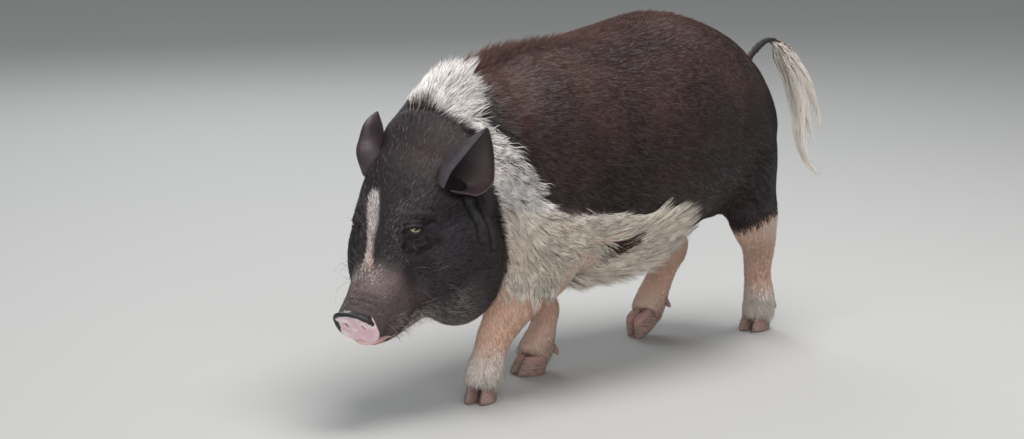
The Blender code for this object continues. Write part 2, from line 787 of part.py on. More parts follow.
def laidLock(skin, recipe, lift):
    """One lock from a root on the skin: it leaves the skin, bends over and follows it."""
    root, normal, lie, out, length, width = recipe
    along = (lie - normal * lie.dot(normal)).normalized()
    points, normals = [root - (normal + along) * lockSunk], [normal]
    place = root
    for before, share in zip(lockStations, lockStations[1:]):
        step = length * (share - before)
        along = (lie - normal * lie.dot(normal)).normalized()
        place, normal = skin.find_nearest(place + along * step)[:2]
        height = 0.0025 + (0.003 + lift) * share + out * length * math.sin(share * math.pi * 0.5)
        points.append(place + normal * height)
        normals.append(normal)
    return lockMesh("lock", points, normals, width, lockThickness)


def crosses(lock, trees):
    """Whether a lock comes nearer to another node than the gap."""
    near = grown(lock, 2 * gap, "near")
    own = BVHTree.FromObject(near, bpy.context.evaluated_depsgraph_get())
    bpy.data.objects.remove(near)
    return any(own.overlap(tree) for tree in trees)


def clearLocks(skin, recipes, others):
    """Locks that are clear of the other nodes, each lifted as little as that needs."""
    graph = bpy.context.evaluated_depsgraph_get()
    trees = [BVHTree.FromObject(obj, graph) for obj in others]
    locks = []
    for recipe in recipes:
        for lift in lockLifts:
            lock = laidLock(skin, recipe, lift)
            if not crosses(lock, trees):
                locks.append(lock)
                break
            bpy.data.objects.remove(lock)
    return locks


def tailLocks(draw):
    """The long hair of the tail, which leaves its last bend and falls to thin wisps."""
    line = [at(*row) for row in smoothRows(tuftRows, 41)]
    locks = []
    for k in range(tuftLocks):
        turn = math.tau * k / tuftLocks + draw.uniform(-0.3, 0.3)
        first, last = draw.uniform(0.0, 0.30), draw.uniform(0.74, 1.0)
        spread = tuftSpread * draw.uniform(0.5, 1.0)
        points, normals = [], []
        for share in tuftStations:
            t = (first + (last - first) * share) * 40
            i = min(int(t), 39)
            place = line[i].lerp(line[i + 1], t - i)
            lead = (line[i + 1] - line[i]).normalized()
            fore = lead.cross(Vector((1, 0, 0)))
            away = Vector((1, 0, 0)) * math.cos(turn) + fore * math.sin(turn)
            points.append(place + away * spread * math.sin(math.pi * (0.06 + 0.72 * share)))
            normals.append(away)
        locks.append(lockMesh("wisp", points, normals, tuftWidth * draw.uniform(0.8, 1.2), lockThickness))
    return locks


def fused(obj, locks, solver="EXACT"):
    """One Boolean union of a node with all of its locks."""
    group = bpy.data.collections.new(obj.name + "Locks")
    bpy.context.scene.collection.children.link(group)
    for lock in locks:
        group.objects.link(lock)
    join = obj.modifiers.new("locks", "BOOLEAN")
    join.operation = "UNION"
    join.operand_type = "COLLECTION"
    join.solver = solver
    join.collection = group
    made = evaluated(obj, obj.name)
    for lock in locks:
        bpy.data.objects.remove(lock)
    bpy.data.collections.remove(group)
    return largestOnly(made)


def byNode(recipes, nodes):
    """Recipes by the node whose skin each is rooted in, without those on the legs."""
    owned = {name: [] for name in nodes}
    for recipe in recipes:
        for name, obj in nodes.items():
            if (obj.closest_point_on_mesh(recipe[0])[1] - recipe[0]).length < gap:
                owned[name].append(recipe)
    return owned


def finished(nodes):
    """Names, materials and shading for every node, in the pig's own collection."""
    home = bpy.data.collections.new("pig")
    bpy.context.scene.collection.children.link(home)
    for name, obj in nodes.items():
        obj.name = name
        obj.data.name = name
        obj.data.materials.clear()
        obj.data.materials.append(finish(name))
        obj.data.shade_smooth()
        obj.data.set_sharp_from_angle(angle=math.radians(40))
        home.objects.link(obj)
        bpy.context.scene.collection.objects.unlink(obj)


finishes = {  # colour, roughness
    "torso": ((0.020, 0.014, 0.012), 0.60),
    "neck": ((0.560, 0.520, 0.460), 0.70),
    "head": ((0.022, 0.018, 0.022), 0.60),
    "tail": ((0.640, 0.600, 0.520), 0.70),
    "ear": ((0.030, 0.024, 0.030), 0.65),
    "eye": ((0.180, 0.090, 0.030), 0.10),
    "snout": ((0.620, 0.400, 0.400), 0.45),
    "foreleg": ((0.520, 0.330, 0.240), 0.65),
    "hindleg": ((0.520, 0.330, 0.240), 0.65),
    "claw": ((0.240, 0.150, 0.120), 0.50),
    "dewclaw": ((0.240, 0.150, 0.120), 0.50),
}


def finish(name):
    colour, roughness = finishes[name.split("_")[0]]
    material = bpy.data.materials.new(name)
    material.use_nodes = True
    shader = material.node_tree.nodes["Principled BSDF"]
    shader.inputs["Base Color"].default_value = (*colour, 1)
    shader.inputs["Roughness"].default_value = roughness
    shader.inputs["Metallic"].default_value = 0
    return material


def main():
    for obj in list(bpy.data.objects):
        bpy.data.objects.remove(obj)
    whole = fusedFlesh()
    skin = BVHTree.FromObject(whole, bpy.context.evaluated_depsgraph_get())
    nodes = partedFlesh(whole)
    nodes.update(hooves(nodes))
    centres = {hand: eyeCentre(hand, nodes["head"]) for hand in (1, -1)}
    for hand, side in ((1, "left"), (-1, "right")):
        nodes[f"ear_{side}"] = clearOf(ear(hand, f"ear_{side}"), nodes["head"])
        nodes[f"eye_{side}"] = eyeball(hand, centres[hand], eyeRadius, f"eye_{side}")
    nodes["tail"] = clearOf(tail(), nodes["torso"])
    nodes["snout"] = clearOf(snout(), nodes["head"])
    nodes["head"] = largestOnly(mouthCut(lidsCut(nodes["head"], centres)))
    draw = random.Random(7)
    recipes = []
    for rows in (collarRows, bellyRows, maneRows):
        recipes += lockRecipes(skin, rows, draw)
    hairy = {name: nodes[name] for name in ("torso", "neck")}
    for name, own in byNode(recipes, hairy).items():
        others = [obj for other, obj in nodes.items() if other != name]
        locks = clearLocks(skin, own, others)
        nodes[name] = fused(nodes[name], locks)
    nodes["tail"] = fused(nodes["tail"], tailLocks(random.Random(5)), "MANIFOLD")
    finished(nodes)


main()
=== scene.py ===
import math

import bmesh
import bpy
import numpy as np
from mathutils import Matrix, Vector
from mathutils.bvhtree import BVHTree
from mathutils.kdtree import KDTree


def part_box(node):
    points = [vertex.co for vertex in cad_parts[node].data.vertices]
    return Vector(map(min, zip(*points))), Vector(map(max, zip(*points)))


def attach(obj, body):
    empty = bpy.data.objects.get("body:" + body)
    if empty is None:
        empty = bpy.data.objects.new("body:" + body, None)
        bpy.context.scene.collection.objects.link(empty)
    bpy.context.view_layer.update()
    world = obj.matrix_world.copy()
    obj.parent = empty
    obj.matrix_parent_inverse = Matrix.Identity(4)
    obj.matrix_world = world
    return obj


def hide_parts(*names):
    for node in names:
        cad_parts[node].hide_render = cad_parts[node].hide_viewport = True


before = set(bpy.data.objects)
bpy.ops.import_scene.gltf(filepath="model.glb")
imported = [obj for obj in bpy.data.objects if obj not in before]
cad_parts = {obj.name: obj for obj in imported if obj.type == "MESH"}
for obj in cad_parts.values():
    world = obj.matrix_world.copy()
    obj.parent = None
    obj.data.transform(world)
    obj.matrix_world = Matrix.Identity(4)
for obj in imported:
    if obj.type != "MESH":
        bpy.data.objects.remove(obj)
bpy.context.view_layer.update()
print("frame loaded")

# camera, lights and floor
# f is forward (-Y), x is to the pig's left (+X), z is up, in metres
bodyCentre = (0.0325, 0.0)

viewSettings = {
    "place": (2.8551, -3.2413, 0.9814),
    "target": (-0.1673, -0.0002, 0.2),
    "lens": 101.95,
}
lampSettings = {
    # place, size, power, colour
    "overhead": ((0.5, 0.1, 3.2), 2.4, 98.0, (1.0, 0.98, 0.96)),
    "cameraSide": ((3.2, -2.4, 1.9), 2.2, 36.0, (1.0, 0.99, 0.98)),
    "head": ((0.2, -3.6, 1.5), 1.6, 8.0, (0.93, 0.96, 1.0)),
    "low": ((2.3, -3.3, 0.60), 1.3, 23.0, (1.0, 0.97, 0.94)),
    "rim": ((-2.6, 1.6, 2.2), 1.8, 34.0, (0.92, 0.96, 1.0)),
}
roomSettings = {"world": 0.31, "floor": (0.50, 0.50, 0.49)}


def at(f, x, z):
    return Vector((x - bodyCentre[1], bodyCentre[0] - f, z))


def link(obj):
    bpy.context.scene.collection.objects.link(obj)
    return obj


def makeCamera():
    camera = link(bpy.data.objects.new("camera", bpy.data.cameras.new("camera")))
    camera.data.lens = viewSettings["lens"]
    camera.location = viewSettings["place"]
    way = Vector(viewSettings["target"]) - camera.location
    camera.rotation_euler = way.to_track_quat("-Z", "Y").to_euler()
    bpy.context.scene.camera = camera


def makeLights():
    for name, (place, size, power, colour) in lampSettings.items():
        lamp = bpy.data.lights.new(name, "AREA")
        lamp.shape = "DISK"
        lamp.size = size
        lamp.energy = power
        lamp.color = colour
        obj = link(bpy.data.objects.new(name, lamp))
        obj.location = place
        obj.rotation_euler = (Vector((0, 0, 0.3)) - obj.location).to_track_quat("-Z", "Y").to_euler()
    world = bpy.data.worlds.new("studio")
    world.use_nodes = True
    world.node_tree.nodes["Background"].inputs["Color"].default_value = (0.93, 0.96, 1.0, 1)
    world.node_tree.nodes["Background"].inputs["Strength"].default_value = roomSettings["world"]
    bpy.context.scene.world = world


def makeFloor():
    bm = bmesh.new()
    bmesh.ops.create_circle(bm, cap_ends=True, segments=96, radius=30)
    mesh = bpy.data.meshes.new("floor")
    bm.to_mesh(mesh)
    bm.free()
    floor = link(bpy.data.objects.new("floor", mesh))
    material, shader = newMaterial("floorPaper")
    shader.inputs["Base Color"].default_value = (*roomSettings["floor"], 1)
    shader.inputs["Roughness"].default_value = 0.85
    mesh.materials.append(material)


def newMaterial(name):
    material = bpy.data.materials.new(name)
    material.use_nodes = True
    return material, material.node_tree.nodes["Principled BSDF"]


bpy.context.scene.view_settings.view_transform = "Standard"
makeCamera()
makeLights()
makeFloor()
print("camera, lights and floor made")

# the pig's form
formSettings = {
    "voxel": 0.0050,
    "smoothRounds": 34,
    "trunkSquareness": 2.25,
    "skullSquareness": 2.2,
    "chinSquareness": 2.0,
    "headRoot": (0.345, 0.000, 0.330),
    "noseCentre": (0.580, 0.047, 0.140),
}
# f, top, level of the widest place, bottom, half width
trunkRows = {
    "tailEnd": (-0.356, 0.370, 0.325, 0.285, 0.018),
    "buttock": (-0.347, 0.410, 0.320, 0.245, 0.040),
    "rump": (-0.327, 0.434, 0.315, 0.220, 0.064),
    "croup": (-0.290, 0.455, 0.315, 0.203, 0.092),
    "hip": (-0.220, 0.496, 0.318, 0.197, 0.129),
    "loin": (-0.110, 0.527, 0.312, 0.190, 0.158),
    "flank": (-0.020, 0.518, 0.300, 0.160, 0.172),
    "belly": (0.080, 0.504, 0.292, 0.140, 0.170),
    "girth": (0.165, 0.500, 0.300, 0.147, 0.158),
    "shoulder": (0.240, 0.494, 0.318, 0.165, 0.146),
    "breast": (0.310, 0.468, 0.330, 0.190, 0.122),
    "chest": (0.345, 0.430, 0.330, 0.225, 0.090),
    "chestEnd": (0.362, 0.370, 0.330, 0.290, 0.040),
}
# f, x, z of the centre, half height up, half height down, half width
neckRows = {
    "root": (0.200, 0.000, 0.350, 0.135, 0.150, 0.135),
    "middle": (0.285, 0.001, 0.343, 0.136, 0.140, 0.128),
    "collar": (0.345, 0.006, 0.325, 0.122, 0.122, 0.116),
    "nape": (0.395, 0.014, 0.298, 0.103, 0.095, 0.095),
}
# distance along the head's axis, top, bottom, half width, level of the widest place
skullRows = {
    "nape": (-0.020, 0.085, -0.080, 0.070, 0.000),
    "poll": (0.025, 0.103, -0.095, 0.084, 0.008),
    "brow": (0.080, 0.104, -0.095, 0.084, 0.018),
    "forehead": (0.135, 0.088, -0.088, 0.073, 0.020),
    "eyes": (0.175, 0.066, -0.078, 0.061, 0.008),
    "bridge": (0.212, 0.044, -0.066, 0.050, -0.006),
    "muzzle": (0.250, 0.032, -0.053, 0.041, -0.010),
    "snout": (0.288, 0.027, -0.036, 0.036, -0.004),
    "noseEnd": (0.306, 0.025, -0.029, 0.033, -0.002),
}
chinRows = {
    "throat": (0.080, -0.050, -0.130, 0.062, -0.085),
    "jaw": (0.150, -0.045, -0.116, 0.052, -0.080),
    "chin": (0.220, -0.040, -0.080, 0.037, -0.060),
    "lipEnd": (0.284, -0.033, -0.051, 0.025, -0.043),
    "lipTip": (0.303, -0.034, -0.043, 0.016, -0.038),
}
# a pair each: place (along, side, up) and half sizes in the same order
headLumps = {
    "jowl": ((0.110, 0.052, -0.054), (0.100, 0.058, 0.096)),
    "jowlCorner": ((0.078, 0.062, -0.076), (0.064, 0.044, 0.060)),
    "cheek": ((0.165, 0.036, -0.028), (0.066, 0.036, 0.050)),
    "browRidge": ((0.142, 0.038, 0.060), (0.036, 0.022, 0.014)),
    "lip": ((0.245, 0.026, -0.030), (0.045, 0.020, 0.020)),
}
# f, x, z and half sizes: the point of the bent hock
legLumps = {"hockRight": ((-0.262, -0.083, 0.124), (0.019, 0.021, 0.030))}
# f, x, z of the centre, half width, half depth, from the body down
legRows = {
    "foreleg_left": {
        "shoulder": (0.225, 0.076, 0.320, 0.046, 0.075),
        "upperArm": (0.240, 0.106, 0.250, 0.048, 0.078),
        "elbow": (0.262, 0.104, 0.192, 0.040, 0.053),
        "forearm": (0.294, 0.086, 0.146, 0.031, 0.037),
        "wrist": (0.318, 0.070, 0.104, 0.026, 0.029),
        "cannon": (0.325, 0.061, 0.070, 0.024, 0.026),
        "fetlock": (0.329, 0.056, 0.044, 0.028, 0.029),
        "foot": (0.336, 0.054, 0.022, 0.025, 0.027),
    },
    "foreleg_right": {
        "shoulder": (0.200, -0.076, 0.320, 0.046, 0.075),
        "upperArm": (0.190, -0.104, 0.250, 0.045, 0.073),
        "elbow": (0.160, -0.094, 0.188, 0.037, 0.048),
        "forearm": (0.122, -0.060, 0.140, 0.028, 0.033),
        "wrist": (0.103, -0.037, 0.100, 0.024, 0.026),
        "cannon": (0.112, -0.028, 0.068, 0.020, 0.022),
        "fetlock": (0.132, -0.022, 0.042, 0.024, 0.026),
        "foot": (0.152, -0.018, 0.022, 0.023, 0.026),
    },
    "hindleg_left": {
        "hip": (-0.215, 0.060, 0.350, 0.040, 0.060),
        "thigh": (-0.216, 0.088, 0.290, 0.048, 0.080),
        "stifle": (-0.231, 0.092, 0.238, 0.041, 0.058),
        "gaskin": (-0.254, 0.086, 0.190, 0.032, 0.045),
        "hock": (-0.284, 0.070, 0.150, 0.025, 0.032),
        "cannon": (-0.307, 0.050, 0.098, 0.021, 0.024),
        "fetlock": (-0.325, 0.040, 0.050, 0.025, 0.027),
        "foot": (-0.326, 0.037, 0.022, 0.024, 0.026),
    },
    "hindleg_right": {
        "hip": (-0.205, -0.060, 0.350, 0.040, 0.060),
        "thigh": (-0.190, -0.088, 0.285, 0.048, 0.088),
        "stifle": (-0.196, -0.100, 0.222, 0.043, 0.078),
        "gaskin": (-0.232, -0.094, 0.180, 0.033, 0.048),
        "hock": (-0.256, -0.084, 0.140, 0.025, 0.032),
        "cannon": (-0.220, -0.075, 0.094, 0.021, 0.024),
        "fetlock": (-0.184, -0.068, 0.054, 0.025, 0.027),
        "foot": (-0.166, -0.064, 0.034, 0.023, 0.025),
    },
}
# f, z, radius of the tail's thin root
tailRows = {
    "root": (-0.325, 0.424, 0.012),
    "lift": (-0.362, 0.449, 0.0072),
    "bend": (-0.392, 0.458, 0.0060),
    "droop": (-0.414, 0.450, 0.0054),
    "tip": (-0.428, 0.425, 0.0045),
}


def smoothRows(rows, steps):
    # a smooth curve through the rows of a table, read at even steps
    table = np.array(list(rows.values()), float)
    ends = np.vstack([2 * table[0] - table[1], table, 2 * table[-1] - table[-2]])
    found = []
    for t in np.linspace(0, len(table) - 1, steps):
        i = min(int(t), len(table) - 2)
        u = t - i
        a, b, c, d = ends[i : i + 4]
        bend, turn = 2 * a - 5 * b + 4 * c - d, 3 * b - a - 3 * c + d
        found.append(0.5 * (2 * b + (c - a) * u + bend * u**2 + turn * u**3))
    return np.array(found)


def ring(centre, side, up, halfWidth, rise, drop, squareness=2.0, corners=40):
    points = []
    for k in range(corners):
        angle = math.tau * k / corners
        c, s = math.cos(angle), math.sin(angle)
        across = math.copysign(abs(c) ** (2 / squareness), c) * halfWidth
        along = math.copysign(abs(s) ** (2 / squareness), s) * (rise if s > 0 else drop)
        points.append(centre + side * across + up * along)
    return points


def loft(bm, rings, closed=True):
    loops = [[bm.verts.new(p) for p in points] for points in rings]
    corners = len(loops[0])
    for a, b in zip(loops, loops[1:]):
        for k in range(corners):
            bm.faces.new((a[k], a[(k + 1) % corners], b[(k + 1) % corners], b[k]))
    if closed:
        bm.faces.new(loops[0][::-1])
        bm.faces.new(loops[-1])
    return loops


def meshOf(name, build, turnOut=True):
    # the mesh that build makes, with every face turned outward unless it is so already
    bm = bmesh.new()
    build(bm)
    if turnOut:
        bm.normal_update()
        bmesh.ops.recalc_face_normals(bm, faces=bm.faces)
    mesh = bpy.data.meshes.new(name)
    bm.to_mesh(mesh)
    bm.free()
    return mesh


def facesMesh(name, places, faces):
    # a mesh from places and faces, with every face turned outward
    mesh = bpy.data.meshes.new(name)
    mesh.from_pydata(places, [], faces)
    bm = bmesh.new()
    bm.from_mesh(mesh)
    bmesh.ops.recalc_face_normals(bm, faces=bm.faces)
    bm.to_mesh(mesh)
    bm.free()
    return mesh


def settle(piece, slot, *nodes):
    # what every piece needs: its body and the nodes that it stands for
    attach(piece, "root")
    if nodes:
        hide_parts(*nodes)
    return piece


def finishPiece(name, mesh, material, slot, *nodes):
    # a smooth object of one material, which stands for the nodes named
    piece = link(bpy.data.objects.new(name, mesh))
    mesh.shade_smooth()
    mesh.materials.append(material)
    return settle(piece, slot, *nodes)


def setMark(mesh, label, values):
    # a number or a vector for each point, which the shaders read
    values = np.asarray(values, float)
    vector = values.ndim == 2
    each = mesh.attributes.new(label, "FLOAT_VECTOR" if vector else "FLOAT", "POINT")
    each.data.foreach_set("vector" if vector else "value", values.ravel())


def handName(hand):
    return "left" if hand > 0 else "right"


def unit(ways, least=1e-6):
    return ways / np.maximum(np.linalg.norm(ways, axis=-1, keepdims=True), least)


def square(ways, normals):
    # what is left of each way square to its normal
    return ways - normals * np.sum(ways * normals, axis=-1)[..., None]


def headFrame():
    origin = at(*formSettings["headRoot"])
    along = (at(*formSettings["noseCentre"]) - origin).normalized()
    side = Vector((0, 0, 1)).cross(along).normalized()
    if side.x < 0:
        side.negate()
    up = along.cross(side).normalized()
    if up.z < 0:
        up.negate()
    return origin, along, side, up


headOrigin, headAlong, headSide, headUp = headFrame()


def onHead(along, side, up):
    return headOrigin + headAlong * along + headSide * side + headUp * up


def ellipsoid(bm, centre, axes, sizes, segments=28):
    made = bmesh.ops.create_uvsphere(bm, u_segments=segments, v_segments=segments // 2, radius=1)
    shape = Matrix([axis * size for axis, size in zip(axes, sizes)]).transposed()
    if shape.determinant() < 0:
        shape.col[0].negate()
    for v in made["verts"]:
        v.co = centre + shape @ v.co


def addTrunk(bm):
    rings = []
    for f, top, level, bottom, half in smoothRows(trunkRows, 70):
        rings.append(
            ring(at(f, 0, level), Vector((1, 0, 0)), Vector((0, 0, 1)), max(half, 0.01),
                 max(top - level, 0.01), max(level - bottom, 0.01), formSettings["trunkSquareness"])
        )
    loft(bm, rings)


def addTube(bm, places, halfWidths, rises, drops):
    # sections square to a bent line, each with its side level
    last = len(places) - 1
    rings = []
    for i, place in enumerate(places):
        lead = (places[min(i + 1, last)] - places[max(i - 1, 0)]).normalized()
        side = Vector((1, 0, 0))
        side = (side - lead * side.dot(lead)).normalized()
        up = side.cross(lead)
        if up.z < 0:
            up.negate()
        rings.append(ring(place, side, up, halfWidths[i], rises[i], drops[i]))
    loft(bm, rings)


def addNeck(bm):
    rows = smoothRows(neckRows, 24)
    addTube(bm, [at(*row[:3]) for row in rows], rows[:, 5], rows[:, 3], rows[:, 4])


def addTailRoot(bm):
    rows = smoothRows(tailRows, 24)
    addTube(bm, [at(row[0], 0, row[1]) for row in rows], rows[:, 2], rows[:, 2], rows[:, 2])


def addHeadTube(bm, rows, squareness):
    rings = []
    for along, top, bottom, half, level in smoothRows(rows, 40):
        rings.append(
            ring(onHead(along, 0, level), headSide, headUp, half, top - level, level - bottom, squareness)
        )
    loft(bm, rings)


def addLumps(bm):
    for (along, side, up), sizes in headLumps.values():
        for hand in (1, -1):
            ellipsoid(bm, onHead(along, hand * side, up), (headAlong, headSide, headUp), sizes)


def addLegs(bm):
    for rows in legRows.values():
        table = smoothRows(rows, 40)
        addTube(bm, [at(*row[:3]) for row in table], table[:, 3], table[:, 4], table[:, 4])
    for place, sizes in legLumps.values():
        ellipsoid(bm, at(*place), (Vector((1, 0, 0)), Vector((0, 1, 0)), Vector((0, 0, 1))), sizes)


def evaluated(obj, name):
    mesh = bpy.data.meshes.new_from_object(obj.evaluated_get(bpy.context.evaluated_depsgraph_get()))
    bpy.data.objects.remove(obj)
    mesh.name = name
    return link(bpy.data.objects.new(name, mesh))


def placesOf(mesh):
    places = np.empty(len(mesh.vertices) * 3)
    mesh.vertices.foreach_get("co", places)
    return places.reshape(-1, 3)


def normalsOf(mesh):
    normals = np.empty(len(mesh.vertices) * 3)
    mesh.vertex_normals.foreach_get("vector", normals)
    return normals.reshape(-1, 3)


def flatOf(mesh):
    # the map place of each corner
    flat = np.empty(len(mesh.loops) * 2)
    mesh.uv_layers["OFBake"].data.foreach_get("uv", flat)
    return flat.reshape(-1, 2)


def setPlaces(mesh, places):
    mesh.vertices.foreach_set("co", places.ravel())
    mesh.update()


def relax(mesh, rounds, share=None, inward=0.55, outward=-0.57):
    # smooths a mesh without shrinking it, everywhere or by a share for each vertex
    places = placesOf(mesh)
    count = len(places)
    ends = np.empty(len(mesh.edges) * 2, int)
    mesh.edges.foreach_get("vertices", ends)
    first, second = ends[::2], ends[1::2]
    friends = np.bincount(ends, minlength=count)
    share = 1.0 if share is None else share[:, None]
    for _ in range(rounds):
        for weight in (inward, outward):
            total = np.stack([
                np.bincount(first, places[second, k], count)
                + np.bincount(second, places[first, k], count)
                for k in range(3)
            ], axis=1)
            places = places + weight * share * (total / friends[:, None] - places)
    setPlaces(mesh, places)


def makeForm():
    def build(bm):
        for add in (addTrunk, addNeck, addTailRoot, addLumps, addLegs):
            add(bm)
        addHeadTube(bm, skullRows, formSettings["skullSquareness"])
        addHeadTube(bm, chinRows, formSettings["chinSquareness"])
    block = link(bpy.data.objects.new("form", meshOf("form", build)))
    remesh = block.modifiers.new("fuse", "REMESH")
    remesh.mode = "VOXEL"
    remesh.voxel_size = formSettings["voxel"]
    form = evaluated(block, "skin")
    relax(form.data, formSettings["smoothRounds"])
    return form


skin = makeForm()
print("form fused:", len(skin.data.vertices), "points")


# where things are on the pig
def ease(value, low, high):
    t = np.clip((value - low) / (high - low), 0.0, 1.0)
    return t * t * (3.0 - 2.0 * t)


def bodyPlaces(places):
    # f, x, z and the angle from straight up round the body's middle, in degrees
    f = bodyCentre[0] - places[:, 1]
    x = places[:, 0] + bodyCentre[1]
    z = places[:, 2]
    return f, x, z, np.degrees(np.arctan2(np.abs(x), z - markSettings["axisLevel"]))


def headPlaces(places):
    offset = places - np.array(headOrigin)
    return offset @ np.array(headAlong), offset @ np.array(headSide), offset @ np.array(headUp)


def foldedHead(places):
    # places on the head's own axes, with the right side laid over the left
    along, side, up = headPlaces(places)
    return np.stack([along, np.abs(side), up], axis=1)


def distanceTo(places, line):
    nearest = np.full(len(places), 1e9)
    line = np.asarray(line, float)
    for a, b in zip(line, line[1:]):
        way = b - a
        share = np.clip((places - a) @ way / (way @ way), 0, 1)[:, None]
        nearest = np.minimum(nearest, np.linalg.norm(places - a - share * way, axis=1))
    return nearest


def legShares(places):
    # how surely each point belongs to each leg below the body
    shares = {}
    for name, rows in legRows.items():
        table = smoothRows(rows, 30)
        centres = np.array([at(*row[:3]) for row in table])
        sizes = (table[:, 3] + table[:, 4]) / 2
        ratio = np.full(len(places), 1e9)
        for centre, size in zip(centres, sizes):
            ratio = np.minimum(ratio, np.linalg.norm(places - centre, axis=1) / size)
        top = table[0, 2] * 0.35 + table[-1, 2] * 0.65 + 0.075
        shares[name] = ease(-ratio, -1.9, -1.35) * ease(-places[:, 2], -top - 0.03, -top + 0.02)
    return shares


markSettings = {
    "axisLevel": 0.320,
    # the white collar's two edges: f by angle from straight up
    "collarAngles": (-16, 7, 24, 31, 43, 52, 66, 78, 88, 101, 115, 137),
    "collarFront": (0.392, 0.395, 0.396, 0.392, 0.381, 0.367, 0.374, 0.380, 0.370, 0.354, 0.338, 0.329),
    "collarRear": (0.342, 0.344, 0.360, 0.369, 0.369, 0.360, 0.343, 0.321, 0.306, 0.292, 0.276, 0.266),
    # the white belly's upper edge: angle by f
    "bellyFs": (-0.060, -0.030, -0.006, 0.022, 0.034, 0.070, 0.120, 0.200, 0.270, 0.300),
    "bellyEdge": (185, 152, 136, 122, 113, 113, 112, 110, 108, 104),
    "spot": (0.138, 0.208, 0.026, 0.0140),  # f, z, half length, half height
    "hindWhite": (-0.229, 0.197, 0.55),  # f, z and slope of the pale part's edge on a hind leg
    "warmLine": ((0.128, 0.046, 0.090), (0.150, 0.024, 0.078), (0.176, 0.024, 0.062),
                 (0.205, 0.026, 0.045)),
    # the blaze: distance along the head, its middle and half width
    "blazeAlong": (0.118, 0.132, 0.148, 0.166, 0.188, 0.209, 0.225),
    "blazeMiddle": (-0.022, -0.0225, -0.0180, -0.013, -0.011, -0.008, -0.005),
    "blazeHalf": (0.0060, 0.0100, 0.0118, 0.0095, 0.0060, 0.0065, 0.0105),
}


def collarEdges(x, angle):
    # f of the collar's front and rear edge; the right side's lie further back
    back = 0.030 * (x < 0) * ease(angle, 10, 30)
    angles = markSettings["collarAngles"]
    return [np.interp(angle, angles, markSettings[name]) - back for name in ("collarFront", "collarRear")]


def marks(places):
    # every marking as a share from 0 to 1 for each point; the brown share also carries painted sheen along
    # the top of the back
    m = markSettings
    f, x, z, angle = bodyPlaces(places)
    along, side, up = headPlaces(places)
    legs = legShares(places)
    leg = np.max(list(legs.values()), axis=0)
    front, rear = collarEdges(x, angle)
    collar = ease(front - f, -0.006, 0.006) * ease(f - rear, -0.012, 0.010)
    edge = np.interp(f, m["bellyFs"], m["bellyEdge"])
    belly = ease(angle - edge, -3.5, 3.5) * ease(front - f, -0.006, 0.006)
    spotF, spotZ, spotLong, spotHigh = m["spot"]
    spot = ease(-np.hypot((f - spotF) / spotLong, (z - spotZ) / spotHigh), -1.30, -0.55) * (x > 0.08)
    pale = np.maximum(collar, belly)
    foreleg = np.maximum(legs["foreleg_left"], legs["foreleg_right"])
    pale = np.maximum(pale, foreleg)
    hind = (f < -0.08) & (z < 0.30)
    hf, hz, slope = m["hindWhite"]
    line = np.clip(hz + (hf - f) * slope, 0.150, 0.245)
    hindleg = np.maximum(legs["hindleg_left"], legs["hindleg_right"])
    shank = ease(line - z, -0.008, 0.008) * ease(hindleg, 0.55, 0.95)
    pale = np.where(hind, np.maximum(shank, belly * ease(f, -0.12, -0.07)), pale)
    head = ease((f - 0.362) * 0.945 - (z - 0.310) * 0.325, -0.008, 0.012) * (1 - foreleg)
    head = head * (1 - collar)
    pale = pale * (1 - head) * (1 - spot)
    middle = np.interp(along, m["blazeAlong"], m["blazeMiddle"])
    half = np.interp(along, m["blazeAlong"], m["blazeHalf"])
    blaze = ease(half - np.abs(side - middle), -0.0025, 0.0025) * (half > 0) * (up > 0.01) * head
    blaze = blaze * ease(along, 0.118, 0.132) * ease(-along, -0.232, -0.213)
    muzzle = 0.55 * ease(up, -0.050, -0.020) + 0.45 * ease(up, 0.005, 0.030)
    muzzle = ease(along + 0.25 * np.abs(side), 0.205, 0.245) * muzzle
    muzzle = muzzle * head * (1 - 0.55 * ease(along, 0.248, 0.272) * ease(up, 0.0, 0.02))
    # the coat's own reddish brown, raised along the top of the back and fading down the sides as painted
    # sheen of the overhead light
    brown = (0.42 + 0.58 * ease(-angle, -108, -40)) * ease(0.36 - f, 0.0, 0.06) * (1 - head)
    brown = brown * (1 - 0.75 * ease(-f, 0.12, 0.24) * ease(angle, 30, 62))
    brown = brown * (1 - 0.8 * ease(-f, 0.335, 0.352))
    poll = ease(-along, -0.13, -0.06) * ease(up, 0.03, 0.08) * ease(side, -0.06, 0.04)
    brown = brown + 0.26 * poll * head
    warm = np.exp(-((distanceTo(foldedHead(places), m["warmLine"]) / 0.011) ** 2)) * head * (1 - blaze)
    jaw = ease(along, 0.13, 0.20) * ease(-up, 0.030, 0.048) * head
    # a tan patch under the blaze, and the legs of the far side
    fan = ease(along, 0.212, 0.226) * ease(-along, -0.266, -0.236)
    fan = fan * ease(-np.abs(side + 0.002), -0.032, -0.014) * (up > 0.005) * head
    far = np.maximum(legs["foreleg_right"], legs["hindleg_right"])
    return {
        "white": np.clip(pale, 0, 1), "blaze": blaze, "muzzle": muzzle, "brown": brown, "jaw": jaw,
        "head": head, "leg": leg, "collar": collar * (1 - head), "belly": belly * (1 - head) * (1 - leg),
        "spot": spot, "warm": warm, "fan": fan, "far": far,
    }


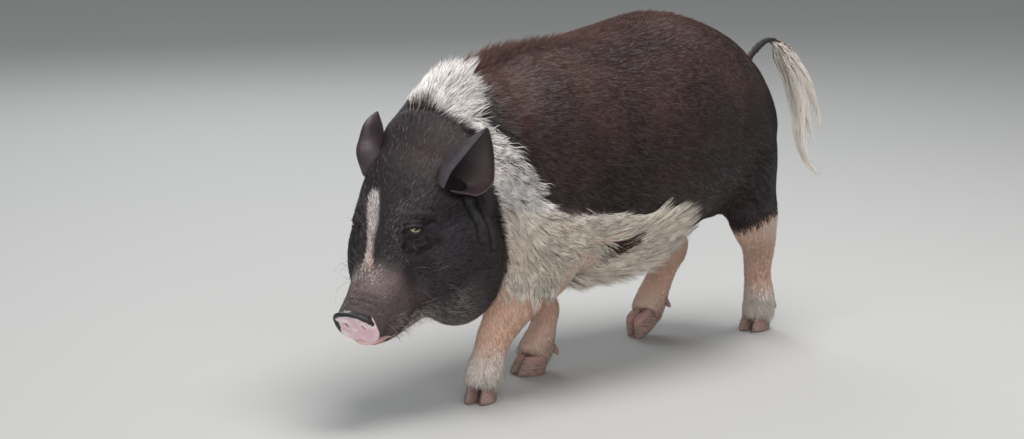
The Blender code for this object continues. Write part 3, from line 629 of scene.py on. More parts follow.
# where the ears are
earSettings = {
    "root": (0.070, 0.078, 0.053),
    "axes": {"left": (-0.526, 0.520, 0.672), "right": (-0.774, 0.109, 0.594)},
    "across": (-0.371, 0.620, -0.690),
    "turn": {"left": 0.0, "right": -22.0},
    "length": 0.092,
    "thick": 0.0030,
    "blunt": {"left": 0.0, "right": 0.6},  # how much rounder the tip is
    "lowEnd": {"left": 1.0, "right": 0.7},  # how much of the base below the root is made
    "narrow": {"left": 0.0, "right": 0.34},  # how much narrower the base is
    "sink": {"left": 0.0, "right": 0.008},  # how far the base is let in
    "deepEnd": {"left": 0.0, "right": 0.018},  # and its lower end besides
    "lobeEnd": -0.05,  # share of the length where the lobe's closed end stops
    "ridges": (-0.45, -0.18, 0.10),  # where the soft ridges of the inside run, across the cup
    "grid": (64, 72),  # rows along the ear and columns round it
    # share of the length: width, depth of the cup, height of the rolled front rim,
    # reach of the closed lower end
    "rows": (
        (-0.30, 0.054, 0.022, 0.000, 0.044), (-0.14, 0.066, 0.027, 0.002, 0.026),
        (0.00, 0.074, 0.028, 0.006, 0.007), (0.22, 0.078, 0.024, 0.009, 0.000),
        (0.46, 0.064, 0.017, 0.008, 0.0), (0.70, 0.042, 0.010, 0.005, 0.0),
        (0.88, 0.020, 0.004, 0.002, 0.0), (0.97, 0.0075, 0.001, 0.0005, 0.0),
        (1.005, 0.0020, 0.000, 0.0, 0.0),
    ),
    # the section from the rear rim to the rolled front rim: across, of the depth, of the roll,
    # of the closed end
    "section": (
        (1.00, 0.10, 0.0, 1.0), (0.93, -0.28, 0.0, 0.65), (0.70, -0.68, 0.0, 0.25),
        (0.28, -0.96, 0.0, 0.0), (-0.25, -1.00, 0.0, 0.0), (-0.68, -0.80, 0.0, 0.0),
        (-0.95, -0.40, 0.1, 0.0), (-1.04, 0.00, 0.5, 0.0),
        (-0.94, 0.10, 0.95, 0.0), (-0.74, 0.05, 1.0, 0.0), (-0.64, -0.12, 0.7, 0.0),
    ),
}


def curve(points, steps):
    return smoothRows(dict(enumerate(points)), steps)


def earWidth(share, width, hand):
    # the base can be narrower and the tip rounder on one side
    name = handName(hand)
    blunter = 1 + 2.0 * earSettings["blunt"][name] * ease(share, 0.50, 0.95)
    return width * blunter * (1 - earSettings["narrow"][name] * ease(-share, -0.40, 0.05))


def earFrame(hand):
    # the ear's root, with its long axis, the way across the cup and the way that the cup faces
    s = earSettings
    name = handName(hand)

    def turned(v):
        return headAlong * v[0] + headSide * (v[1] * hand) + headUp * v[2]

    axis = turned(s["axes"][name]).normalized()
    across = turned(s["across"])
    across = (across - axis * across.dot(axis)).normalized()
    across = Matrix.Rotation(math.radians(s["turn"][name]), 3, axis) @ across
    facing = across.cross(axis) * hand
    if facing.dot(headAlong) < 0:
        facing.negate()
    root = onHead(s["root"][0], hand * s["root"][1], s["root"][2])
    return root, axis, across, facing


# the skin's finer shape
skinSettings = {
    "coatDepth": 0.0040,
    "faceDepth": 0.0012,
    "legDepth": 0.0018,
    "longDepth": 0.0015,
    "hamBlend": (0.215, 0.400, 80),  # from level, to level, rounds of smoothing
    "buttock": (0.0065, 0.335, 0.036),  # how far it is filled, level, reach
    "cleft": 0.0070,
    "ham": 0.0045,
    "snoutBack": 0.0075,
    "fineReaches": (0.026, 0.019),  # round each eye
}
eyeSettings = {
    "look": (0.25, 0.72, 0.55),
    "openWidth": 0.0078,
    "openUp": 0.0019,
    "openDown": 0.0043,
    "turn": 40.0,  # how far the slit's inner corner is turned up from the head's axis
    "lid": 0.0011,
    "hood": 0.0021,
    "creases": (1.50, 1.95, 2.5),  # how many openings out they run
    "sunk": 0.0040,
}
# points (along, side, up) of each crease, its width and depth, on both sides of the head
headCreases = {
    "upperLid": (
        ((0.170, 0.026, 0.067), (0.163, 0.033, 0.070), (0.155, 0.042, 0.072), (0.149, 0.051, 0.069),
         (0.142, 0.058, 0.061), (0.134, 0.066, 0.050)),
        0.0040, 0.0042),
    "tear": (
        ((0.173, 0.044, 0.058), (0.179, 0.041, 0.052), (0.185, 0.040, 0.045)),
        0.0032, 0.0022),
    "underEye": (
        ((0.186, 0.040, 0.046), (0.184, 0.047, 0.039), (0.179, 0.054, 0.032), (0.170, 0.060, 0.028),
         (0.160, 0.067, 0.025), (0.150, 0.072, 0.026)),
        0.0055, 0.0042),
    "lowerLid": (
        ((0.175, 0.046, 0.053), (0.172, 0.052, 0.045), (0.165, 0.059, 0.038), (0.156, 0.066, 0.032)),
        0.0028, 0.0016),
    "noseSide": (
        ((0.186, 0.016, 0.058), (0.202, 0.023, 0.046), (0.216, 0.031, 0.033)),
        0.0070, 0.0020),
    "cheek": (
        ((0.205, 0.047, 0.020), (0.212, 0.050, 0.002), (0.218, 0.054, -0.018), (0.219, 0.053, -0.038)),
        0.0110, 0.0050),
    "earFoldFront": (
        ((0.077, 0.082, 0.034), (0.084, 0.088, 0.016), (0.095, 0.096, 0.000), (0.109, 0.103, -0.014)),
        0.0050, 0.0040),
    "earFoldRear": (
        ((0.062, 0.090, 0.024), (0.070, 0.095, 0.000), (0.080, 0.101, -0.020), (0.098, 0.106, -0.038)),
        0.0050, 0.0045),
    "mouth": (
        ((0.300, 0.000, -0.036), (0.292, 0.014, -0.036), (0.285, 0.024, -0.036), (0.270, 0.036, -0.038),
         (0.250, 0.044, -0.040), (0.232, 0.050, -0.038)),
        0.0030, 0.0052),
}
headRidges = {
    "underEyeBag": (
        ((0.180, 0.048, 0.047), (0.174, 0.055, 0.040), (0.165, 0.062, 0.033)),
        0.0045, 0.0014),
    "brow": (
        ((0.166, 0.030, 0.077), (0.156, 0.041, 0.080), (0.145, 0.052, 0.074), (0.134, 0.061, 0.060)),
        0.0075, 0.0032),
    "earFoldMiddle": (
        ((0.070, 0.087, 0.026), (0.077, 0.092, 0.008), (0.088, 0.099, -0.010)),
        0.0055, 0.0026),
    "snoutTop": (
        ((0.232, 0.004, 0.032), (0.262, 0.006, 0.031), (0.290, 0.006, 0.027)),
        0.0200, 0.0052),
    "upperLip": (
        ((0.290, 0.026, -0.030), (0.270, 0.040, -0.031), (0.248, 0.047, -0.033)),
        0.0055, 0.0016),
    "lowerLip": (
        ((0.292, 0.010, -0.043), (0.280, 0.024, -0.044), (0.262, 0.036, -0.047)),
        0.0045, 0.0016),
}
# creases across the top of the snout: points, width and depth
snoutCreases = (
    (
        ((0.288, -0.024, 0.018), (0.289, -0.010, 0.026), (0.290, 0.010, 0.026), (0.288, 0.024, 0.018)),
        0.0024, 0.0018),
    (
        ((0.277, -0.024, 0.020), (0.280, -0.008, 0.028), (0.279, 0.008, 0.028), (0.276, 0.024, 0.020)),
        0.0026, 0.0020),
    (
        ((0.266, -0.020, 0.025), (0.270, -0.004, 0.030), (0.268, 0.012, 0.029), (0.263, 0.024, 0.022)),
        0.0028, 0.0016),
    (
        ((0.252, -0.014, 0.031), (0.257, 0.002, 0.032), (0.253, 0.016, 0.030)),
        0.0030, 0.0012),
)


def refine(mesh, wanted):
    # halves the faces whose points are all wanted
    bm = bmesh.new()
    bm.from_mesh(mesh)
    bm.verts.ensure_lookup_table()
    edges = [e for e in bm.edges if wanted[e.verts[0].index] and wanted[e.verts[1].index]]
    bmesh.ops.subdivide_edges(bm, edges=edges, cuts=1, use_grid_fill=True)
    bm.to_mesh(mesh)
    bm.free()


def blendHams(mesh):
    # the thighs run smoothly into the trunk
    f, x, z, angle = bodyPlaces(placesOf(mesh))
    low, high, rounds = skinSettings["hamBlend"]
    share = ease(-f, 0.12, 0.17) * ease(np.abs(x), 0.03, 0.06)
    share = share * ease(z, low, low + 0.025) * ease(-z, -high, -high + 0.04)
    relax(mesh, rounds, share, outward=0.0)


def shrinkUnderCoat(mesh):
    # the skin lies below the tips of the coat
    places = placesOf(mesh)
    m = marks(places)
    s = skinSettings
    depth = s["coatDepth"] + (s["faceDepth"] - s["coatDepth"]) * m["head"]
    depth = depth + (s["legDepth"] - depth) * m["leg"]
    depth = depth + (s["longDepth"] - depth) * np.maximum(m["collar"], m["belly"])
    f, x, z, angle = bodyPlaces(places)
    depth = depth + (0.0006 - depth) * ease(-f, 0.345, 0.365)
    # the buttock runs straight down into the thigh
    normals = normalsOf(mesh)
    outward = normals[:, 0] * np.sign(x) * 0.73 + normals[:, 1] * 0.68
    height, level, reach = s["buttock"]
    fill = height * ease(outward, 0.3, 0.9) * np.exp(-(((z - level) / reach) ** 2))
    depth = depth - fill * ease(-f, 0.15, 0.22)
    # the hams part below the tail
    behind = ease(normals[:, 1], 0.2, 0.6) * ease(-f, 0.25, 0.29)
    behind = behind * ease(z, 0.215, 0.25) * ease(-z, -0.405, -0.37)
    groove = s["cleft"] * np.exp(-((x / 0.009) ** 2))
    groove = groove - s["ham"] * np.exp(-(((np.abs(x) - 0.050) / 0.026) ** 2))
    depth = depth + behind * groove
    setPlaces(mesh, places - normals * depth[:, None])


def eyeFrame(hand):
    # the eyeball's middle and radius, the way that it looks, across the slit and up
    low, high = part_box("eye_" + handName(hand))
    centre = (Vector(low) + Vector(high)) / 2
    radius = (high[2] - low[2]) / 2
    a, s, u = eyeSettings["look"]
    look = (headAlong * a + headSide * (hand * s) + headUp * u).normalized()
    turn = math.radians(eyeSettings["turn"])
    upward = headUp * math.cos(turn) - headAlong * math.sin(turn)
    upward = (upward - look * upward.dot(look)).normalized()
    return centre, radius, look, upward.cross(look), upward


def eyeGap(places):
    # distance to the nearer eye's middle
    centres = [np.array(eyeFrame(hand)[0]) for hand in (1, -1)]
    return np.min([np.linalg.norm(places - centre, axis=1) for centre in centres], axis=0)


def eyeRoom(places, hand):
    # distance from the eye's middle, and how many openings out from its middle line
    centre, radius, look, across, upward = eyeFrame(hand)
    offset = places - np.array(centre)
    distance = np.linalg.norm(offset, axis=1)
    ahead = offset @ np.array(look)
    h = offset @ np.array(across) / np.maximum(distance, 1e-6) * radius
    v = offset @ np.array(upward) / np.maximum(distance, 1e-6) * radius
    height = np.where(v > 0, eyeSettings["openUp"], eyeSettings["openDown"])
    out = np.sqrt((h / eyeSettings["openWidth"]) ** 2 + (v / height) ** 2)
    return distance, np.where(ahead > 0, out, 9.0), radius, v


def sculptEyes(mesh):
    places = placesOf(mesh)
    for hand in (1, -1):
        centre = np.array(eyeFrame(hand)[0])
        distance, out, radius, v = eyeRoom(places, hand)
        near = (distance < 0.030) & (out < 6)
        upper = ease(v, -0.0005, 0.0020) * (1.0 if hand > 0 else 0.35)
        lid = radius + eyeSettings["lid"] * ease(out, 0.97, 1.12)
        lid = lid + upper * eyeSettings["hood"] * ease(out, 0.97, 1.35)
        # small creases run round the lids
        rings = sum(np.exp(-(((out - way) / 0.10) ** 2)) for way in eyeSettings["creases"]) * (1 - upper)
        lid = lid + 0.0006 * ease(out, 1.0, 1.6) - 0.0007 * rings
        lid = lid - upper * 0.0028 * np.exp(-(((out - 3.3) / 0.55) ** 2))
        rest = np.maximum(distance, radius + 0.0008)
        spread = ease(out, 1.25, 2.3) * (1 - upper) + ease(out, 2.2, 4.6) * upper
        target = lid * (1 - spread) + rest * spread
        target = np.where(out < 0.97, radius - eyeSettings["sunk"] * ease(-out, -0.97, -0.75), target)
        places[near] = centre + (places[near] - centre) * (target / distance)[near][:, None]
    setPlaces(mesh, places)


def sculptHead(mesh):
    places = placesOf(mesh)
    normals = normalsOf(mesh)
    along, side, up = headPlaces(places)
    folded, plain = foldedHead(places), np.stack([along, side, up], axis=1)
    near = (along > 0.03) & (np.abs(side) < 0.15)
    rise = np.zeros(len(places))
    jobs = [(folded, line, width, -depth) for line, width, depth in headCreases.values()]
    jobs += [(folded, line, width, depth) for line, width, depth in headRidges.values()]
    jobs += [(plain, line, width, -depth) for line, width, depth in snoutCreases]
    for points, line, width, height in jobs:
        gap = distanceTo(points[near], line)
        rise[near] += height * np.exp(-((gap / width) ** 2))
    rise *= 1 - 0.55 * ease(-side, 0.0, 0.02) * (up > 0.02)
    back = skinSettings["snoutBack"] * ease(along, 0.240, 0.296) * (up < 0.06)
    setPlaces(mesh, places + normals * rise[:, None] - np.outer(back, np.array(headAlong)))


def shapeSkin(mesh):
    blendHams(mesh)
    shrinkUnderCoat(mesh)
    refine(mesh, marks(placesOf(mesh))["head"] > 0.5)
    relax(mesh, 2)
    sculptHead(mesh)
    # a finer mesh round eyes, ears and mouth, in two rounds
    for reach in skinSettings["fineReaches"]:
        places = placesOf(mesh)
        near = eyeGap(places) < reach
        for hand in (1, -1):
            near |= earHollow(places, hand)[0] > 0.02
        if reach == skinSettings["fineReaches"][0]:
            near |= distanceTo(foldedHead(places), headCreases["mouth"][0]) < 0.010
        refine(mesh, near)
        relax(mesh, 1, (eyeGap(placesOf(mesh)) < reach) * 1.0)
    for hand in (1, -1):
        places = placesOf(mesh)
        share, push = earHollow(places, hand)
        facing = np.array(earFrame(hand)[3])
        setPlaces(mesh, places - facing * (push * share)[:, None])
        relax(mesh, 2, ease(earHollow(placesOf(mesh), hand, 0.012)[0], 0.0, 0.4))
    sculptEyes(mesh)


def earHollow(places, hand, wider=0.0):
    # how surely each point lies in the ear's opening, and how far it must sink to clear the inside
    s = earSettings
    root, axis, across, facing = (np.array(v) for v in earFrame(hand))
    offset = places - root
    share = offset @ axis / s["length"]
    table = np.array(s["rows"])
    half = earWidth(share, np.interp(share, table[:, 0], table[:, 1]), hand) / 2
    depth = np.interp(share, table[:, 0], table[:, 2])
    v = offset @ across / half
    right = float(hand < 0)
    bottom = -depth * np.clip(1 - np.abs(v) ** 3.2, 0, 1) - 0.0045
    bottom = bottom - s["sink"]["right"] * right * ease(-share, -0.45, 0.0)
    push = np.maximum(offset @ facing - bottom, 0)
    middle = root + axis * 0.018 - facing * 0.008
    wider = wider + 0.008 * right
    more = 0.12 * right
    inside = ease(-np.abs(v), -0.96 - more, -0.78 - more) * ease(share, -0.20, 0.02)
    inside = inside * ease(-share, -0.66 - more, -0.55 - more)
    inside = inside * ease(-np.linalg.norm(places - middle, axis=1), -0.050 - wider, -0.036 - wider)
    return inside, push


shapeSkin(skin.data)
print("skin shaped:", len(skin.data.vertices), "points")

# how the coat lies
lieSettings = {
    # how far down the hair points on the trunk, by angle from straight up
    "angles": (0, 20, 45, 75, 100, 125, 150, 180),
    "flankDown": (0.05, 0.12, 0.22, 0.34, 0.42, 0.40, 0.30, 0.15),
    "collarDown": (-0.05, 0.10, 0.30, 0.42, 0.62, 0.80, 0.80, 0.60),
    # the belly's hair streams back and, towards the flank, up
    "bellyFs": (-0.11, -0.06, 0.00, 0.08, 0.16, 0.24, 0.30),
    "bellyDown": (-1.50, -1.25, -0.85, -0.50, -0.25, 0.15, 0.50),
    "swirl": 0.040,
}


def softNoise(places, scale, seed):
    # a smooth wandering value from -1 to 1, from a few crossed waves
    draw = np.random.default_rng(seed)
    total = np.zeros(len(places))
    for octave in range(5):
        way = draw.normal(size=3)
        way = way / np.linalg.norm(way) * scale * (1.0 + 0.55 * octave)
        total += np.sin(places @ way + draw.uniform(0, math.tau)) / (1.0 + 0.4 * octave)
    return total / 2.2


def lieOf(places, normals, m):
    f, x, z, angle = bodyPlaces(places)
    along, side, up = headPlaces(places)
    s = lieSettings
    down = np.interp(angle, s["angles"], s["flankDown"])
    down = down + (np.interp(angle, s["angles"], s["collarDown"]) - down) * m["collar"]
    down = down + (np.interp(f, s["bellyFs"], s["bellyDown"]) - down) * m["belly"]
    rump = ease(-f, 0.22, 0.33)
    back = np.stack([np.sign(x) * 0.05, 1.0 - 0.6 * rump, -(down + 1.0 * rump)], axis=1)
    onCheek = ease(-up, -0.045, 0.02)
    head = -np.array(headAlong) - np.outer(onCheek * 0.55, np.array(headUp))
    outward = np.sign(side) * 0.35 * ease(along, 0.02, 0.14) * (1 - onCheek)
    head = head + np.outer(outward, np.array(headSide))
    leg = np.stack([np.zeros(len(f)), np.full(len(f), 0.22), np.full(len(f), -1.0)], axis=1)
    lie = back * (1 - m["head"])[:, None] + head * m["head"][:, None]
    lie = lie * (1 - m["leg"])[:, None] + leg * m["leg"][:, None]
    across = np.cross(normals, lie)
    long = np.maximum(m["collar"], m["belly"])
    swirl = s["swirl"] * softNoise(places, 30, 5) + 0.22 * long * softNoise(places, 120, 6)
    lie = lie + across * swirl[:, None]
    return unit(square(lie, normals))


def flowOf(places, lie):
    # places drawn together along the lie, so that noise read there runs in lines
    return places - lie * (0.90 * np.sum(places * lie, axis=1))[:, None]


# shared shader groups
def newNode(tree, kind, **settings):
    node = tree.nodes.new(kind)
    for name, value in settings.items():
        setattr(node, name, value)
    return node


def feed(tree, socket, value):
    if isinstance(value, bpy.types.NodeSocket):
        tree.links.new(value, socket)
    elif isinstance(value, tuple) and len(value) == 3 and socket.type == "RGBA":
        socket.default_value = (*value, 1)
    else:
        socket.default_value = value


def blend(tree, share, first, second, way="MIX"):
    node = newNode(tree, "ShaderNodeMix", data_type="RGBA", blend_type=way)
    feed(tree, node.inputs[0], share)
    feed(tree, node.inputs[6], first)
    feed(tree, node.inputs[7], second)
    return node.outputs[2]


def sums(tree, way, first, second=0.0, third=0.0):
    node = newNode(tree, "ShaderNodeMath", operation=way)
    for socket, value in zip(node.inputs, (first, second, third)):
        feed(tree, socket, value)
    return node.outputs[0]


def stretch(tree, value, low, high, newLow=0.0, newHigh=1.0):
    node = newNode(tree, "ShaderNodeMapRange", interpolation_type="SMOOTHSTEP")
    for name, number in (("Value", value), ("From Min", low), ("From Max", high),
                         ("To Min", newLow), ("To Max", newHigh)):
        feed(tree, node.inputs[name], number)
    return node.outputs["Result"]


def speckle(tree, place, scale, detail=3.0, rough=0.55):
    node = newNode(tree, "ShaderNodeTexNoise")
    feed(tree, node.inputs["Vector"], place)
    node.inputs["Scale"].default_value = scale
    node.inputs["Detail"].default_value = detail
    node.inputs["Roughness"].default_value = rough
    return node.outputs["Fac"]


def readMark(tree, name):
    node = newNode(tree, "ShaderNodeAttribute", attribute_name=name)
    return node.outputs["Fac"]


def readVector(tree, name):
    return newNode(tree, "ShaderNodeAttribute", attribute_name=name).outputs["Vector"]


def objectPlace(tree):
    return newNode(tree, "ShaderNodeTexCoord").outputs["Object"]


def scaled(tree, vector, scale):
    node = newNode(tree, "ShaderNodeVectorMath", operation="SCALE")
    feed(tree, node.inputs[0], vector)
    feed(tree, node.inputs["Scale"], scale)
    return node.outputs[0]


def shaded(tree, colour, light):
    node = newNode(tree, "ShaderNodeHueSaturation")
    feed(tree, node.inputs["Color"], colour)
    feed(tree, node.inputs["Value"], light)
    return node.outputs["Color"]


def newGroup(name, inputs, outputs):
    tree = bpy.data.node_groups.new(name, "ShaderNodeTree")
    kinds = {"colour": "NodeSocketColor", "value": "NodeSocketFloat", "vector": "NodeSocketVector"}
    for label, kind in inputs.items():
        tree.interface.new_socket(label, in_out="INPUT", socket_type=kinds[kind])
    for label, kind in outputs.items():
        tree.interface.new_socket(label, in_out="OUTPUT", socket_type=kinds[kind])
    return tree, tree.nodes.new("NodeGroupInput").outputs, tree.nodes.new("NodeGroupOutput").inputs


def makeCoatColour():
    # the colour of coat or skin from its markings, with the painted sheen that the brown share carries,
    # darkened by Light
    names = {name: "colour" for name in ("Dark", "Brown", "Pale", "Cream", "Muzzle")}
    names |= {f"{name} Share": "value" for name in ("Dark", "Brown", "Cream", "Muzzle")}
    names["Light"] = "value"
    tree, given, made = newGroup("coatColour", names, {"Color": "colour"})
    cloud = stretch(tree, speckle(tree, objectPlace(tree), 9.0), 0.35, 0.65, 0.45, 1.0)
    brown = sums(tree, "MULTIPLY", given["Brown Share"], cloud)
    colour = blend(tree, brown, given["Dark"], given["Brown"])
    colour = blend(tree, given["Muzzle Share"], colour, given["Muzzle"])
    pale = blend(tree, given["Cream Share"], given["Pale"], given["Cream"])
    colour = blend(tree, given["Dark Share"], pale, colour)
    feed(tree, made["Color"], shaded(tree, colour, given["Light"]))
    return tree


def makeFurLines():
    # fine lines along the lie of short fur, with small lumps between them
    tree, given, made = newGroup("furLines", {"Flow": "vector", "Scale": "value"},
                                 {"Height": "value", "Line": "value"})
    wide = scaled(tree, given["Flow"], given["Scale"])
    fine = speckle(tree, wide, 620.0, 2.0)
    broad = speckle(tree, wide, 210.0, 2.0)
    height = sums(tree, "ADD", sums(tree, "MULTIPLY", fine, 0.6), sums(tree, "MULTIPLY", broad, 0.9))
    feed(tree, made["Height"], height)
    feed(tree, made["Line"], stretch(tree, fine, 0.40, 0.66))
    return tree


def makeSkinGrain():
    # the fine creases and pores of bare skin
    tree, given, made = newGroup("skinGrain", {"Scale": "value"}, {"Height": "value", "Mottle": "value"})
    wide = scaled(tree, objectPlace(tree), given["Scale"])
    cells = newNode(tree, "ShaderNodeTexVoronoi", feature="DISTANCE_TO_EDGE")
    feed(tree, cells.inputs["Vector"], wide)
    cells.inputs["Scale"].default_value = 420.0
    creases = stretch(tree, cells.outputs["Distance"], 0.0, 0.12)
    pores = speckle(tree, wide, 300.0, 4.0)
    feed(tree, made["Height"], sums(tree, "ADD", sums(tree, "MULTIPLY", creases, 0.5), pores))
    feed(tree, made["Mottle"], stretch(tree, speckle(tree, wide, 40.0, 4.0), 0.38, 0.66))
    return tree


groups = {"coatColour": makeCoatColour(), "furLines": makeFurLines(), "skinGrain": makeSkinGrain()}

coatColours = {
    "dark": (0.0115, 0.0085, 0.0120),
    "brown": (0.190, 0.092, 0.072),
    "pale": (0.93, 0.90, 0.89),
    "cream": (0.88, 0.80, 0.69),
    "muzzle": (0.34, 0.265, 0.24),
}
legColours = {**coatColours, "pale": (0.95, 0.90, 0.86), "cream": (0.84, 0.56, 0.41)}
skinColours = {
    "dark": (0.0120, 0.0090, 0.0125),
    "brown": (0.062, 0.036, 0.032),
    "pale": (0.52, 0.44, 0.43),
    "cream": (0.76, 0.46, 0.34),
    "muzzle": (0.190, 0.132, 0.136),
    "foot": (0.88, 0.77, 0.72),
    "lip": (0.60, 0.33, 0.29),
    "lipPale": (0.72, 0.46, 0.42),
    "inEar": (0.016, 0.011, 0.012),
}


def useGroup(tree, name, **inputs):
    node = newNode(tree, "ShaderNodeGroup", node_tree=groups[name])
    for label, value in inputs.items():
        feed(tree, node.inputs[label.replace("_", " ")], value)
    return node.outputs


def coatColourFrom(tree, colours, light):
    given = {name.capitalize(): colours[name] for name in ("dark", "brown", "pale", "cream", "muzzle")}
    for name in ("dark", "brown", "cream", "muzzle"):
        given[name.capitalize() + "_Share"] = readMark(tree, name)
    return useGroup(tree, "coatColour", Light=light, **given)["Color"]


def addBump(tree, shader, height, strength, distance):
    bump = newNode(tree, "ShaderNodeBump")
    bump.inputs["Strength"].default_value = strength
    bump.inputs["Distance"].default_value = distance
    feed(tree, bump.inputs["Height"], height)
    feed(tree, shader.inputs["Normal"], bump.outputs["Normal"])


def makeSkinMaterial():
    material, shader = newMaterial("skinUnderCoat")
    tree = material.node_tree
    lines = useGroup(tree, "furLines", Flow=readVector(tree, "flow"), Scale=1.0)
    grain = useGroup(tree, "skinGrain", Scale=1.0)
    light = sums(tree, "MULTIPLY_ADD", lines["Line"], 0.75, 0.62)
    colour = coatColourFrom(tree, skinColours, light)
    colour = blend(tree, readMark(tree, "foot"), colour, skinColours["foot"])
    pink = blend(tree, grain["Mottle"], skinColours["lip"], skinColours["lipPale"])
    colour = blend(tree, readMark(tree, "bare"), colour, pink)
    colour = blend(tree, readMark(tree, "inEar"), colour, skinColours["inEar"])
    feed(tree, shader.inputs["Base Color"], colour)
    feed(tree, shader.inputs["Roughness"], stretch(tree, lines["Line"], 0.0, 1.0, 0.62, 0.48))
    pores = sums(tree, "MULTIPLY", grain["Height"], 0.5)
    addBump(tree, shader, sums(tree, "ADD", lines["Height"], pores), 0.55, 0.0011)
    return material


def makeHairMaterial(name, rough, varied, colours):
    # each tuft is painted darker towards its root, painted shade where the tufts shade one another, and no
    # two are quite alike
    material, shader = newMaterial(name)
    tree = material.node_tree
    chance = readMark(tree, "chance")
    own = sums(tree, "MULTIPLY_ADD", chance, varied, 1.01 - varied / 2)
    # painted shade: the light value falls from the tip to the root
    light = sums(tree, "MULTIPLY", own, sums(tree, "MULTIPLY_ADD", readMark(tree, "tip"), 0.50, 0.66))
    feed(tree, shader.inputs["Base Color"], coatColourFrom(tree, colours, light))
    feed(tree, shader.inputs["Roughness"], sums(tree, "MULTIPLY_ADD", chance, 0.16, rough))
    shader.inputs["Specular IOR Level"].default_value = 0.22
    return material


# the coat, as thin tapered tufts of solid mesh
plainCoat = {"joints": 1, "wisp": 0, "draw": 0.0, "wave": 0.0, "waves": 0.0}
coatSettings = {
    # how many, length, width, thickness, how far the tip stands off for each length, spread of the lie,
    # joints along a tuft, tufts in a wisp, how far a wisp draws together, size and number of its waves
    "body": {**plainCoat, "count": 104000, "length": 0.0185, "width": 0.00095, "thick": 0.00042,
             "lift": 0.056, "spread": 0.12},
    "head": {**plainCoat, "count": 44000, "length": 0.0084, "width": 0.00070, "thick": 0.00030,
             "lift": 0.085, "spread": 0.20},
    "legs": {**plainCoat, "count": 44000, "length": 0.0120, "width": 0.00100, "thick": 0.00038,
             "lift": 0.11, "spread": 0.22},
    "collar": {"count": 15500, "length": 0.0400, "width": 0.00095, "thick": 0.00045,
               "lift": 0.15, "spread": 0.17,
               "joints": 3, "wisp": 26, "draw": 0.72, "wave": 0.0030, "waves": 1.0},
    "belly": {"count": 13000, "length": 0.0500, "width": 0.00095, "thick": 0.00045,
              "lift": 0.10, "spread": 0.10,
              "joints": 3, "wisp": 30, "draw": 0.80, "wave": 0.0016, "waves": 0.6},
    "mane": {"count": 3600, "length": 0.0300, "width": 0.00090, "thick": 0.00045,
             "lift": 0.46, "spread": 0.20,
             "joints": 3, "wisp": 8, "draw": 0.5, "wave": 0.0010, "waves": 0.5},
}
tuftPatch = 0.003  # how wide a tuft is on the bake's map
mostFaces = 190000  # for one piece


def scatter(mesh, count, density, draw):
    # places on the skin, more of them where density is high: place, normal, map place
    mesh.calc_loop_triangles()
    total = len(mesh.loop_triangles)
    corners, loops = np.empty((total, 3), int), np.empty((total, 3), int)
    mesh.loop_triangles.foreach_get("vertices", corners.ravel())
    mesh.loop_triangles.foreach_get("loops", loops.ravel())
    places, normals, flat = placesOf(mesh), normalsOf(mesh), flatOf(mesh)
    a, b, c = (places[corners[:, k]] for k in range(3))
    area = np.linalg.norm(np.cross(b - a, c - a), axis=1) * density[corners].mean(axis=1)
    picked = draw.choice(total, count, p=area / area.sum())
    u, v = draw.random(count), draw.random(count)
    over = u + v > 1
    u[over], v[over] = 1 - u[over], 1 - v[over]
    shares = np.stack([1 - u - v, u, v], axis=1)[:, :, None]
    root = (places[corners[picked]] * shares).sum(axis=1)
    normal = (normals[corners[picked]] * shares).sum(axis=1)
    return root, unit(normal), (flat[loops[picked]] * shares).sum(axis=1)


def walkSkin(surface, roots, ways, lengths, steps):
    # follows the skin from each root: the places and normals after each step
    places, normals = [roots], []
    place, way = roots.copy(), ways.copy()
    for _ in range(steps):
        ahead = place + way * (lengths / steps)[:, None]
        found = [surface.find_nearest(point)[:2] for point in ahead.tolist()]
        place = np.array([tuple(spot) for spot, _ in found])
        normal = np.array([tuple(facing) for _, facing in found])
        way = unit(square(way, normal))
        places.append(place)
        normals.append(normal)
    return places, normals


def tuftMesh(name, lines, ups, widths, thick, taper, flat, values, material, slot):
    # lines: a list of (n, 3) places from root to tip; ups: the way each tuft's ridge faces
    count, last = len(lines[0]), len(lines) - 1
    rows = []
    for i in range(last):
        ahead = unit(lines[i + 1] - lines[max(i - 1, 0)], 1e-9)
        across = unit(np.cross(ahead, ups[i]), 1e-9)
        ridge = np.cross(across, ahead)
        half = (widths * taper[i] / 2)[:, None]
        rows += [lines[i] + across * half, lines[i] + ridge * thick * taper[i], lines[i] - across * half]
    rows.append(lines[last])
    perTuft = len(rows)
    points = np.stack(rows, axis=1).reshape(-1, 3)
    # one face closes the root, six join each pair of sections, three close the tip
    faces = [(0, 2, 1)]
    for i in range(last - 1):
        for k in range(3):
            a, b = 3 * i + k, 3 * i + (k + 1) % 3
            faces += [(a, b, b + 3), (a, b + 3, a + 3)]
    a, end = 3 * (last - 1), perTuft - 1
    faces += [(a, a + 1, end), (a + 1, a + 2, end), (a + 2, a, end)]
    corners = (np.array(faces)[None] + (np.arange(count) * perTuft)[:, None, None]).reshape(-1, 3)
    mesh = bpy.data.meshes.new(name)
    mesh.vertices.add(len(points))
    mesh.vertices.foreach_set("co", points.ravel())
    mesh.loops.add(corners.size)
    mesh.loops.foreach_set("vertex_index", corners.ravel())
    mesh.polygons.add(len(corners))
    mesh.polygons.foreach_set("loop_start", np.arange(len(corners)) * 3)
    tip = np.repeat([i / last for i in range(last)], 3).tolist() + [1.0]
    patch = [((-0.5, 0.0, 0.5)[j % 3] * (1 - t), t - 0.5) for j, t in enumerate(tip)]
    spots = (flat[:, None, :] + (np.array(patch) * tuftPatch)[None]).reshape(-1, 2)
    mesh.uv_layers.new(name="OFBake").data.foreach_set("uv", spots[corners.ravel()].ravel())
    for label, value in values.items():
        setMark(mesh, label, np.repeat(value, perTuft))
    setMark(mesh, "tip", np.tile(tip, count))
    mesh.update(calc_edges=True)
    return finishPiece(name, mesh, material, slot)


